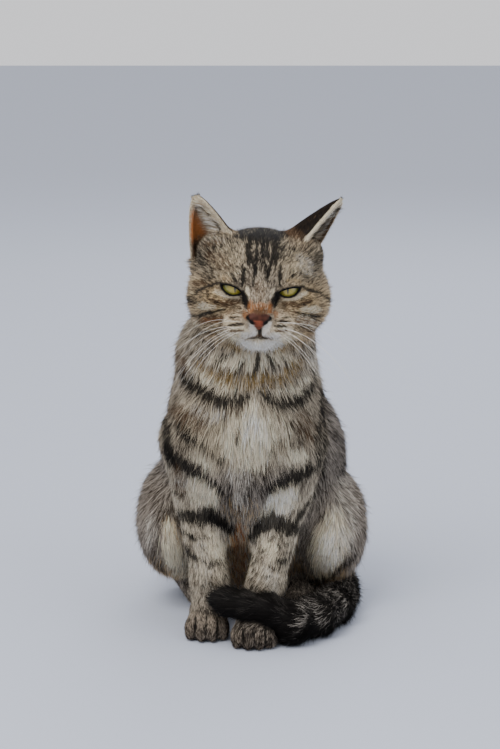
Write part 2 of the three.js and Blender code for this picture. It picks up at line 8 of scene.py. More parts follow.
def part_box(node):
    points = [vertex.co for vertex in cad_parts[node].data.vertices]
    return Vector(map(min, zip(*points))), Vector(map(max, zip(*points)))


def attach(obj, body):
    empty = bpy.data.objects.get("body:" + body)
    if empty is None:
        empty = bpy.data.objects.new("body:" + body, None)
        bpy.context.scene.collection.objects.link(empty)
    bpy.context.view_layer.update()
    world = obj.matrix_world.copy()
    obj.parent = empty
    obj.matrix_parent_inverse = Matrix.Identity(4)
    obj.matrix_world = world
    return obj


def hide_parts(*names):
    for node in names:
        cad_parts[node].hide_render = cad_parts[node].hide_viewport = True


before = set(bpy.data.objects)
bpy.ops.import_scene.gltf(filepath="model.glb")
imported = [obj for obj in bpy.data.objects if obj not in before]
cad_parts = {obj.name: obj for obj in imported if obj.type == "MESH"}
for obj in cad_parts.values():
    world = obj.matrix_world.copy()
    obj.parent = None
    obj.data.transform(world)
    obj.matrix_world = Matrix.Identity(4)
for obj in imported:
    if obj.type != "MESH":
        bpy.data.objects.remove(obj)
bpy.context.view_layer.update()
started = time.time()

# A sitting tabby cat. Lengths are millimetres in the animal's own space: floor at z 0,
# facing -y, its left at +x. Each dictionary of values stands beside the code that uses it.


def vec(*numbers):
    return np.array(numbers, np.float32)


def say(text):
    print(f"{time.time() - started:6.1f} s  {text}", flush=True)


def hexColour(text):
    c = np.array([int(text[i:i + 2], 16) for i in (0, 2, 4)]) / 255
    return np.where(c <= .04045, c / 12.92, ((c + .055) / 1.055) ** 2.4)


# Smooth step from 0 at low to 1 at high.
def ease(x, low, high):
    t = np.clip((x - low) / (high - low), 0, 1)
    return t * t * (3 - 2 * t)


# Hair by place on the body: length and width of a tuft, how far it stands off the skin in
# degrees, its density beside the others, the way it lies, its pale and dark tone, and the
# share of dark tufts.
def hair(piece, length, width, rise, density, lie, light, dark, share):
    return {"piece": piece, "length": length, "width": width, "rise": rise, "density": density,
            "lie": lie, "light": light, "dark": dark, "share": share}


hairKinds = {
    "crown": hair("head", 4.6, .50, 22, 3.2, "face", "B0A28B", "110E0B", .58),
    "cheek": hair("head", 8.0, .52, 22, 2.6, "face", "C6AF8C", "2C2119", .46),
    "jaw": hair("head", 8.5, .54, 23, 2.6, "face", "CBB692", "46351F", .38),
    "eyeSocket": hair("head", 3.2, .44, 15, 4.0, "face", "C2A87F", "2A1F16", .48),
    "brow": hair("head", 3.2, .44, 16, 4.0, "face", "B8A88C", "1F1813", .53),
    "bridge": hair("head", 2.6, .40, 13, 5.0, "face", "ADA08D", "3A322A", .50),
    "pad": hair("head", 3.0, .40, 13, 4.8, "face", "D8C4A6", "5E472D", .34),
    "chin": hair("head", 4.4, .44, 18, 4.2, "face", "EEE0C6", "B3A287", .25),
    "ear": hair("ears", 3.0, .44, 13, 2.8, "ear", "94785A", "352619", .45),
    "neck": hair("neck", 11, .74, 19, 1.5, (0, .25, -1), "B4A996", "473E35", .45),
    "chest": hair("chest", 18, .78, 21, 1.40, (0, -.05, -1), "CDBD9F", "4E3F2E", .34),
    "shoulder": hair("sides", 10, .76, 16, 1.2, (0, .30, -1), "A1937F", "2D2620", .53),
    "ribs": hair("sides", 12, .80, 16, 1.05, (0, .40, -1), "999086", "302A26", .52),
    "back": hair("back", 12, .92, 14, .78, (0, .65, -.8), "9A8F7F", "231D19", .55),
    "flank": hair("sides", 12, .84, 16, 1.0, (0, .35, -1), "9D948A", "38322D", .50),
    "rump": hair("back", 13, .95, 14, .75, (0, .30, -1), "9A9082", "262019", .53),
    "belly": hair("chest", 12, .90, 17, .90, (0, -.1, -1), "ABA498", "45403A", .40),
    "thigh": hair("thighs", 12, .80, 16, 1.15, (0, .12, -1), "A0968A", "453C33", .48),
    "foreleg": hair("forelegs", 6.8, .60, 14, 2.0, "along", "C6BAA4", "4E4439", .36),
    "wrist": hair("forelegs", 4.8, .52, 13, 2.5, "along", "BCB09C", "453B30", .42),
    "paw": hair("forelegs", 3.6, .46, 12, 3.0, (0, -.75, -.6), "A09180", "1B1511", .62),
    "hindfoot": hair("thighs", 4.6, .60, 12, 1.8, (0, -1, -.2), "A5998A", "2F2821", .48),
    "tail": hair("tail", 12, .70, 19, 1.6, "along", "A59E96", "0A0807", .67),
}


def limb(kind, start, end, radii, blend, coat):
    return {"shape": "limb", "kind": kind, "start": vec(*start), "end": vec(*end), "radii": radii,
            "blend": blend, "coat": coat}


def egg(kind, centre, size, blend, coat, turn=0, paired=False):
    return {"shape": "egg", "kind": kind, "centre": vec(*centre), "size": vec(*size), "blend": blend,
            "coat": coat, "turn": turn, "paired": paired}


trunkForms = [
    limb("ribs", (-6, -18, 150), (-1, 10, 210), (52, 50), 20, 5.5),
    limb("back", (-1, 16, 205), (2, 88, 92), (47, 66), 25, 5.0),
    egg("flank", (3.5, 48, 138), (82.5, 58, 82), 22, 5.0),
    egg("rump", (2, 100, 58), (66, 62, 61), 20, 5.0),
    limb("belly", (-2, -2, 112), (2, 70, 62), (46, 58), 20, 5.0),
    limb("neck", (-1, -12, 214), (5, -24, 290), (61, 51), 22, 6.0),
    egg("chest", (-7, -38, 190), (50, 38, 48), 20, 8.0),
    egg("neck", (-34, -16, 242), (28, 30, 33), 20, 6.0),
    egg("shoulder", (-47, -12, 176), (25, 34, 46), 18, 5.0),
    egg("shoulder", (40, -12, 174), (25, 34, 46), 18, 5.0),
]
headAt = vec(7.6, -50, 304)
headRoll = 2
headBlend = 14
headForms = [
    egg("crown", (0, 8, 11), (51, 50, 38.5), 10, 2.2),
    egg("cheek", (29, 6, -8), (31, 34, 31), 12, 4.0, paired=True),
    egg("jaw", (0, -8, -24), (38, 38, 22), 12, 4.0),
    egg("eyeSocket", (26, -22, -6), (20, 20, 17), 10, 1.5, paired=True),
    egg("brow", (21, -26, 21), (20, 13, 10), 9, 1.6, paired=True),
    egg("crown", (33, 2, 30), (19, 24, 17), 8, 2.2, paired=True),
    limb("bridge", (0, -28, 16), (0, -53, -8), (17, 10), 8, .8),
    egg("pad", (12, -43, -21.5), (16.5, 19, 13), 5, 1.1, paired=True),
    egg("chin", (0, -38, -33), (15, 15, 10), 5, 1.6),
    egg("bridge", (0, -56.5, -14), (9.5, 7.5, 7), 3, .2),
    egg("bridge", (5.6, -57.5, -15), (4.2, 5.2, 4.8), 2.5, 0, paired=True),
]
noseTip = vec(0, -60, -12)
eyeValues = {"radius": 10.5, "lidDepth": 1.3, "lidBlend": 4, "socketGap": .15, "pupilHalfWidth": .75,
             "pupilHalfHeight": 4.6}
eyeForms = {
    "right": {"at": vec(-21.4, -31.6, 6.8), "gaze": vec(.13, -1, .16), "turn": -9, "tilt": 18,
              "halfWidth": 10.2, "upper": 3.2, "lower": 5.6},
    "left": {"at": vec(22.7, -31.4, 7), "gaze": vec(.04, -1, .17), "turn": 9, "tilt": -13,
             "halfWidth": 10.2, "upper": 2.6, "lower": 6.0},
}
# Lines pressed into the nose and the mouth: across and height of two points, radius at each.
creases = []
for side in (-1, 1):
    creases += [
        ((side * 8.6, -13.0), (side * 5.2, -16.2), (1.5, 1.5)),
        ((side * 5.2, -16.2), (side * 1.8, -21.0), (1.4, .9)),
        ((0, -28), (side * 5.5, -29.6), (.9, .9)),
        ((side * 5.5, -29.6), (side * 11, -31.2), (.9, .7)),
    ]
creases.append(((0, -21.5), (0, -28.5), (1.0, .9)))
earWall = 1.4
earForms = {
    "right": {"root": vec(-37, 6, 27), "tip": vec(-55, 2, 75), "facing": vec(-.35, -.93, .1),
              "width": 43, "depth": 19.4},
    "left": {"root": vec(35, 6, 29), "tip": vec(65, 8, 76), "facing": vec(.9, -.38, -.2),
             "width": 43, "depth": 23.4},
}


def toeForms(x, y, z, size, places):
    return [egg("paw", (x + place, y + back, z), size, 3, 1.0) for place, back in places]


def forelegForms(shoulder, elbow, wrist, paw, toeLine):
    return [
        limb("foreleg", shoulder, elbow, (30, 24), 10, 4.0),
        limb("foreleg", elbow, wrist, (23, 17), 10, 2.6),
        limb("wrist", wrist, paw, (16.5, 15), 8, 2.0),
        egg("paw", (paw[0], toeLine + 18, 12.5), (18.5, 20, 14), 6, 1.4),
    ] + toeForms(paw[0], toeLine + 9, 8.6, (6.2, 10, 10), ((-13.5, 5), (-4.8, 0), (4.8, 0), (13.5, 5)))


def hindlegForms(side, thighAt, thighTurn):
    return [
        egg("thigh", thighAt, (39, 72, 57), 16, 5.0, turn=thighTurn),
        limb("hindfoot", (side * 60 + 1, 95, 22), (side * 42 + 1, 20, 13), (18, 13.5), 10, 2.2),
        egg("hindfoot", (side * 38 + 1, 0, 11.5), (16, 20, 12.5), 6, 1.6),
    ] + toeForms(side * 37 + 1, -10, 8.2, (5.8, 9, 9.5), ((-12, 4), (-4.2, 0), (4.2, 0), (12, 4)))


legGroups = [
    (forelegForms((-50, -16, 165), (-43, -12, 118), (-35, -36, 48), (-37, -44, 20), -68), 16),
    (forelegForms((36, -18, 165), (28, -16, 118), (14, -46, 48), (3, -60, 20), -90), 16),
    (hindlegForms(-1, (-62.5, 62, 79), -8), 16),
    (hindlegForms(1, (66, 62, 73), 8), 16),
]
tailLine = [(18, 138, 30), (50, 128, 16.4), (72, 98, 15.6), (80, 60, 15.8), (80, 25, 16.3), (74, -8, 16.7),
            (58.5, -42, 17.7), (37, -65, 19), (16, -76, 33), (-2, -77.5, 37), (-15, -73.5, 39),
            (-23, -69, 39.5)]
tailRadii = [16, 17, 16.5, 16.5, 17, 17.5, 18.5, 19, 14.5, 13.5, 13, 11]
tailForms = [limb("tail", tailLine[i], tailLine[i + 1], (tailRadii[i], tailRadii[i + 1]), 6, 4.0)
             for i in range(len(tailLine) - 1)]
# The spine seen from the side, as depth and height, for the bands of the coat.
spineLine = [(-15, 330), (20, 268), (40, 222), (72, 168), (112, 112), (142, 66), (150, 20)]


def turnAboutZ(degrees):
    c, s = math.cos(math.radians(degrees)), math.sin(math.radians(degrees))
    return np.array([[c, -s, 0], [s, c, 0], [0, 0, 1]], np.float32)


def turnAboutY(degrees):
    c, s = math.cos(math.radians(degrees)), math.sin(math.radians(degrees))
    return np.array([[c, 0, s], [0, 1, 0], [-s, 0, c]], np.float32)


headTurn = turnAboutY(headRoll)


# Head space has its origin at headAt and is turned by the roll of the head.
def toHead(p):
    return (p - headAt) @ headTurn


def fromHead(q):
    return q @ headTurn.T + headAt


# Joins two fields with a rounded seam; carve takes one away with a rounded edge.
def melt(a, b, width):
    h = np.maximum(width - np.abs(a - b), 0) / width
    return np.minimum(a, b) - h * h * width / 4


def carve(a, b, width):
    return -melt(-a, b, width)


# A limb is a round bar between two points that may taper.
def limbDistance(p, start, end, radii):
    along = end - start
    t = np.clip(((p - start) @ along) / (along @ along), 0, 1)
    return np.linalg.norm(p - start - t[:, None] * along, axis=1) - (radii[0] + (radii[1] - radii[0]) * t)


# The skin's distance to one form, which lies inside the animal's outline by the coat's depth.
def formDistance(form, p):
    depth = form["coat"]
    if form["shape"] == "limb":
        radii = (form["radii"][0] - depth, form["radii"][1] - depth)
        return limbDistance(p, form["start"], form["end"], radii)
    q = p
    if form["paired"]:
        q = p.copy()
        q[:, 0] = np.abs(q[:, 0])
    q = q - form["centre"]
    if form["turn"]:
        q = q @ turnAboutZ(form["turn"])
    size = form["size"] - depth
    q = q / size
    near = np.linalg.norm(q, axis=1)
    return near * (near - 1) / np.maximum(np.linalg.norm(q / size, axis=1), 1e-6)


def meltForms(forms, p):
    total = None
    for form in forms:
        d = formDistance(form, p)
        total = d if total is None else melt(total, d, form["blend"])
    return total


def boxOf(forms):
    low, high = [], []
    for form in forms:
        if form["shape"] == "limb":
            reach = max(form["radii"])
            low.append(np.minimum(form["start"], form["end"]) - reach)
            high.append(np.maximum(form["start"], form["end"]) + reach)
        else:
            wide = np.full(3, form["size"].max()) if form["turn"] else form["size"]
            low.append(form["centre"] - wide)
            high.append(form["centre"] + wide)
            if form["paired"]:
                low.append(form["centre"] * (-1, 1, 1) - wide)
                high.append(form["centre"] * (-1, 1, 1) + wide)
    return np.min(low, axis=0), np.max(high, axis=0)


# A group of forms only counts near its own box, which saves most of the work.
def within(box, field, p, margin=30, away=60.0):
    inside = np.all((p > box[0] - margin) & (p < box[1] + margin), axis=1)
    out = np.full(len(p), away, np.float32)
    if inside.any():
        out[inside] = field(p[inside])
    return out


# The opening between the lids, as two arcs that meet at the corners of the eye.
def lidOpening(q, eye):
    w = (q - eye["at"]) @ turnAboutZ(eye["turn"])
    c, s = math.cos(math.radians(eye["tilt"])), math.sin(math.radians(eye["tilt"]))
    x = w[:, 0] * c - w[:, 2] * s
    z = w[:, 0] * s + w[:, 2] * c
    half = eye["halfWidth"]
    opening = None
    for height, way in ((eye["upper"], 1), (eye["lower"], -1)):
        radius = (half * half + height * height) / (2 * height)
        arc = np.hypot(x, z + way * (radius - height)) - radius
        opening = arc if opening is None else carve(opening, -arc, .5)
    return np.maximum(opening, w[:, 1])


def earFrame(ear):
    up = ear["tip"] - ear["root"]
    length = np.linalg.norm(up)
    up = up / length
    front = ear["facing"] - up * (ear["facing"] @ up)
    front = front / np.linalg.norm(front)
    return up, front, np.cross(up, front), length


def earPlace(q, ear):
    up, front, across, length = earFrame(ear)
    v = q - ear["root"]
    return v @ across, v @ front, (v @ up) / length


# Half the width of an ear and its depth, at a height from 0 at the root to 1 at the tip.
def earSize(z, ear):
    taper = np.clip(1 - z, 1e-3, 1)
    return ear["width"] / 2 * taper ** .62, ear["depth"] * taper ** .8


def earDistance(q, ear):
    x, y, z = earPlace(q, ear)
    length = earFrame(ear)[3]
    wide, deep = earSize(z, ear)
    outer = (np.hypot(x / wide, y / deep) - 1) * np.minimum(wide, deep)
    innerWide, innerDeep = np.maximum(wide - earWall, .2), np.maximum(deep - earWall, .2)
    inner = (np.hypot(x / innerWide, y / innerDeep) - 1) * np.minimum(innerWide, innerDeep)
    shell = np.maximum(outer, -inner)
    shell = np.maximum(shell, y - 1.0)
    shell = np.maximum(shell, (z - 1) * length)
    return np.maximum(shell, -(z + .25) * length)


# The face's surface in front of a place, found by halving; the hollows start on it.
def onFace(across, height):
    outside, inside = -80.0, -20.0
    for step in range(16):
        middle = (outside + inside) / 2
        if meltForms(headForms, vec(across, middle, height)[None])[0] > 0:
            outside = middle
        else:
            inside = middle
    return vec(across, outside, height)


hollows = [(onFace(*start), onFace(*end), radii) for start, end, radii in creases]


def headField(p):
    q = toHead(p)
    d = meltForms(headForms, q)
    for eye in eyeForms.values():
        ball = np.linalg.norm(q - eye["at"], axis=1)
        d = melt(d, ball - (eyeValues["radius"] + eyeValues["lidDepth"]), eyeValues["lidBlend"])
        d = carve(d, lidOpening(q, eye), 1.0)
        d = np.maximum(d, -(ball - eyeValues["radius"] - eyeValues["socketGap"]))
    for start, end, radii in hollows:
        d = carve(d, limbDistance(q, start, end, radii), 1.0)
    for ear in earForms.values():
        d = melt(d, earDistance(q, ear), 6)
    return d


skinValues = {"coarseStep": 2.6, "middleStep": 1.3, "fineStep": .85, "triangles": 190000, "soleGap": .3}
trunkBox = boxOf(trunkForms)
headBox = (headAt + vec(-75, -75, -50), headAt + vec(82, 50, 80))
legBoxes = [boxOf(forms) for forms, blend in legGroups]
tailBox = boxOf(tailForms)


def bodyField(p):
    trunk = within(trunkBox, lambda at: meltForms(trunkForms, at), p)
    torso = melt(trunk, within(headBox, headField, p), headBlend)
    d = torso
    for (forms, blend), box in zip(legGroups, legBoxes):
        leg = within(box, lambda at, forms=forms: meltForms(forms, at), p)
        d = melt(d, melt(torso, leg, blend), 2)
    d = melt(d, within(tailBox, lambda at: meltForms(tailForms, at), p), 2)
    return np.maximum(d, skinValues["soleGap"] - p[:, 2])


# Grid lines along one axis: a first value, then steps and the value up to which each runs.
def axisOf(*stops):
    line = [stops[0]]
    for step, until in stops[1:]:
        count = max(1, round((until - line[-1]) / step))
        line += list(np.linspace(line[-1], until, count + 1)[1:])
    spare = (4 - (len(line) - 1) % 4) % 4
    line += [line[-1] + 3 * (i + 1) for i in range(spare)]
    return np.array(line)


# The field on a grid, worked out only in the blocks that the surface passes through.
def sampleField(field, axes, block=4, atOnce=400000):
    coarse = [a[::block] for a in axes]
    nodes = np.stack(np.meshgrid(*coarse, indexing="ij"), -1).reshape(-1, 3).astype(np.float32)
    rough = field(nodes).reshape([len(a) for a in coarse])
    sizes = [np.diff(a) for a in coarse]
    squares = [step ** 2 for step in sizes]
    reach = np.sqrt(squares[0][:, None, None] + squares[1][None, :, None] + squares[2][None, None, :])
    corners = [rough[i:rough.shape[0] - 1 + i, j:rough.shape[1] - 1 + j, k:rough.shape[2] - 1 + k]
               for i in (0, 1) for j in (0, 1) for k in (0, 1)]
    near = np.min(np.abs(corners), axis=0) < reach * 1.05
    spread = near.repeat(block, 0).repeat(block, 1).repeat(block, 2)
    spread = np.pad(spread, ((0, 1), (0, 1), (0, 1)))
    for axis in range(3):
        spread = spread | np.roll(spread, 1, axis)
    low = rough[:-1, :-1, :-1].repeat(block, 0).repeat(block, 1).repeat(block, 2)
    values = np.pad(np.where(low < 0, -9, 9).astype(np.float32), ((0, 1), (0, 1), (0, 1)), mode="edge")
    spots = np.argwhere(spread)
    fine = np.empty(len(spots), np.float32)
    for i in range(0, len(spots), atOnce):
        part = spots[i:i + atOnce]
        at = np.stack([axes[k][part[:, k]] for k in range(3)], 1).astype(np.float32)
        fine[i:i + atOnce] = field(at)
    values[tuple(spots.T)] = fine
    say(f"field worked out at {len(spots)} places")
    return values


# Surface nets: one vertex in each cell that the surface crosses, one quad on each crossed edge.
def surfaceOf(values, axes):
    inside = values < 0
    n = np.array(values.shape)
    corner = [(i, j, k) for i in (0, 1) for j in (0, 1) for k in (0, 1)]
    blocks = [inside[i:n[0] - 1 + i, j:n[1] - 1 + j, k:n[2] - 1 + k] for i, j, k in corner]
    active = np.logical_or.reduce(blocks) & ~np.logical_and.reduce(blocks)
    cells = np.argwhere(active)
    number = np.full(active.shape, -1, np.int64)
    number[active] = np.arange(len(cells))
    total, count = np.zeros((len(cells), 3)), np.zeros(len(cells))
    for a in range(8):
        for b in range(a + 1, 8):
            ca, cb = np.array(corner[a]), np.array(corner[b])
            if np.abs(ca - cb).sum() != 1:
                continue
            fa, fb = values[tuple((cells + ca).T)], values[tuple((cells + cb).T)]
            crossed = (fa < 0) != (fb < 0)
            t = np.where(crossed, fa / np.where(crossed, fa - fb, 1), 0)
            total[crossed] += (ca + t[:, None] * (cb - ca))[crossed]
            count[crossed] += 1
    place = cells + total / count[:, None]
    points = np.stack([np.interp(place[:, k], np.arange(n[k]), axes[k]) for k in range(3)], 1)
    faces = []
    for axis in range(3):
        u, v = (axis + 1) % 3, (axis + 2) % 3
        first, second = [slice(None)] * 3, [slice(None)] * 3
        first[axis], second[axis] = slice(0, n[axis] - 1), slice(1, n[axis])
        before, after = inside[tuple(first)], inside[tuple(second)]
        edges = np.argwhere(before != after)
        clear = (edges[:, [u, v]] > 0) & (edges[:, [u, v]] < n[[u, v]] - 1)
        edges = edges[clear.all(axis=1)]
        outward = before[tuple(edges.T)]
        quad = []
        for du, dv in ((1, 1), (0, 1), (0, 0), (1, 0)):
            cell = edges.copy()
            cell[:, u] -= du
            cell[:, v] -= dv
            quad.append(number[tuple(cell.T)])
        quad = np.stack(quad, 1)
        quad[~outward] = quad[~outward][:, ::-1]
        faces.append(quad)
    return points, np.concatenate(faces)


# The frame's own origin, found from where its left eyeball stands.
eyeLow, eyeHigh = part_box("eye_left")
designEye = fromHead(vec(*eyeForms["left"]["at"])[None])[0]
frameShift = (np.array(eyeLow) + np.array(eyeHigh)) / 2 - designEye / 1000


def toFrame(p):
    return p / 1000 + frameShift


def addMesh(name, points, faces, smooth=True):
    mesh = bpy.data.meshes.new(name)
    faces = np.asarray(faces)
    sides = faces.shape[1]
    mesh.vertices.add(len(points))
    mesh.vertices.foreach_set("co", np.asarray(points, np.float32).ravel())
    mesh.loops.add(faces.size)
    mesh.loops.foreach_set("vertex_index", faces.ravel().astype(np.int32))
    mesh.polygons.add(len(faces))
    mesh.polygons.foreach_set("loop_start", np.arange(0, faces.size, sides, dtype=np.int32))
    mesh.polygons.foreach_set("use_smooth", np.full(len(faces), smooth))
    mesh.update(calc_edges=True)
    thing = bpy.data.objects.new(name, mesh)
    bpy.context.scene.collection.objects.link(thing)
    return thing


coarse, middle, fine = skinValues["coarseStep"], skinValues["middleStep"], skinValues["fineStep"]
axes = [
    axisOf(-128, (coarse, -60), (fine, 76), (coarse, 128)),
    axisOf(-124, (fine, -20), (middle, 30), (coarse, 170)),
    axisOf(-4, (coarse, 246), (fine, 384)),
]
values = sampleField(bodyField, axes)
points, quads = surfaceOf(values, axes)
say(f"skin surface with {len(quads)} quads")

skin = addMesh("skin", toFrame(points), quads)
thin = skin.modifiers.new("thin", "DECIMATE")
thin.ratio = min(1, skinValues["triangles"] / (2 * len(quads)))
bpy.context.view_layer.update()
flat = bpy.data.meshes.new_from_object(skin.evaluated_get(bpy.context.evaluated_depsgraph_get()))
skin.modifiers.remove(thin)
skin.data = flat
say(f"skin thinned to {len(flat.polygons)} faces")

bpy.context.view_layer.objects.active = skin
skin.select_set(True)
bpy.ops.object.mode_set(mode="EDIT")
bpy.ops.mesh.select_all(action="SELECT")
bpy.ops.mesh.quads_convert_to_tris()
bpy.ops.uv.smart_project(angle_limit=math.radians(66), island_margin=.001)
bpy.ops.object.mode_set(mode="OBJECT")
skin.data.uv_layers[0].name = "OFBake"
say("skin unwrapped")

mesh = skin.data
triangles = np.empty(len(mesh.loops), np.int32)
mesh.loops.foreach_get("vertex_index", triangles)
triangles = triangles.reshape(-1, 3)
loopUv = np.empty(len(mesh.loops) * 2, np.float32)
mesh.uv_layers[0].data.foreach_get("uv", loopUv)
loopUv = loopUv.reshape(-1, 3, 2)
points = np.empty(len(mesh.vertices) * 3, np.float32)
mesh.vertices.foreach_get("co", points)
points = ((points.reshape(-1, 3) - frameShift) * 1000).astype(np.float32)


# Normals from the field itself, so that the locks stand evenly.
def fieldNormals(p, step=.6):
    out = np.empty_like(p)
    for k in range(3):
        ahead, behind = p.copy(), p.copy()
        ahead[:, k] += step
        behind[:, k] -= step
        out[:, k] = bodyField(ahead) - bodyField(behind)
    return out / np.maximum(np.linalg.norm(out, axis=1), 1e-6)[:, None]


normals = fieldNormals(points)
say("skin normals")


# How each place on the skin is covered: the nearest forms, weighted, give its hair.
def coverOf(p):
    q = toHead(p)
    names, distances, lies = [], [], []
    fromNose = q - noseTip
    fromNose = fromNose / np.maximum(np.linalg.norm(fromNose, axis=1), 1e-6)[:, None]
    faceLie = fromNose @ headTurn.T

    def add(form, at, lie):
        names.append(form["kind"])
        distances.append(formDistance(form, at))
        if isinstance(lie, str):
            along = form["end"] - form["start"] if form["shape"] == "limb" else vec(0, -.3, -1)
            lie = along / np.linalg.norm(along) if lie == "along" else faceLie
        else:
            lie = vec(*lie) / np.linalg.norm(lie)
        lies.append(np.broadcast_to(lie, p.shape))

    for form in headForms:
        add(form, q, "face")
    for form in trunkForms + [form for forms, blend in legGroups for form in forms] + tailForms:
        add(form, p, hairKinds[form["kind"]]["lie"])
    for ear in earForms.values():
        height = earPlace(q, ear)[2]
        names.append("ear")
        distances.append(np.where(height > .02, earDistance(q, ear) - .6, 30).astype(np.float32))
        lies.append(np.broadcast_to(headTurn @ earFrame(ear)[0], p.shape))
    distances = np.array(distances)
    soft = np.array([3.6 if hairKinds[k]["piece"] in ("head", "ears") else 6 for k in names])[:, None]
    weight = np.exp(-(distances - distances.min(axis=0)) / soft)
    weight /= weight.sum(axis=0)
    cover = {}
    for key in ("length", "width", "rise", "density", "share"):
        cover[key] = np.array([hairKinds[k][key] for k in names]) @ weight
    for key in ("light", "dark"):
        cover[key] = weight.T @ np.array([hexColour(hairKinds[k][key]) for k in names])
    cover["lie"] = sum(w[:, None] * lie for w, lie in zip(weight, lies))
    best = weight.argmax(axis=0)
    cover["piece"] = np.array([hairKinds[k]["piece"] for k in names])[best]
    cover["kind"] = np.array(names)[best]
    return cover


tones = {name: hexColour(value) for name, value in {
    "black": "0D0A08", "brown": "4E3926", "ochre": "8C713F", "rufous": "8E5C34", "buff": "B79C74",
    "cream": "E4D5B9", "white": "FBF0DE", "paleGrey": "C6BFB2", "rim": "070504",
    "leather": "45261C", "leatherLight": "783D2A", "earSkinPaintedGlow": "BC7440", "earHair": "A3957F",
}.items()}

latticeSize = 32
lattice = np.random.default_rng(4).random([latticeSize] * 3).astype(np.float32)


# Soft noise between 0 and 1 with bumps about as wide as size.
def noise(p, size, shift=0):
    q = p / size + shift * 7.3
    cell = np.floor(q).astype(np.int64)
    f = q - cell
    f = f * f * (3 - 2 * f)
    total = 0
    for corner in ((i, j, k) for i in (0, 1) for j in (0, 1) for k in (0, 1)):
        share = 1
        for axis, far in enumerate(corner):
            share = share * (f[:, axis] if far else 1 - f[:, axis])
        total = total + share * lattice[tuple(((cell + corner) % latticeSize).T)]
    return total


# The same noise drawn out along the way the hair lies.
def streaks(p, way, size, reach, shift):
    total = sum(noise(p + way * (reach * t), size, shift) for t in (-1, -.5, 0, .5, 1)) / 5
    return ease(total, .34, .66)


# Distance to a broken line, how far along it the nearest place is, and its whole length.
def lineReach(p, line):
    best = np.full(len(p), 1e6)
    run = np.zeros(len(p))
    done = 0
    for start, end in zip(line[:-1], line[1:]):
        along = np.subtract(end, start)
        size = np.linalg.norm(along)
        t = np.clip(((p - start) @ along) / max(size ** 2, 1e-6), 0, 1)
        d = np.linalg.norm(p - start - t[:, None] * along, axis=1)
        closer = d < best
        best = np.where(closer, d, best)
        run = np.where(closer, done + t * size, run)
        done += size
    return best, run, done


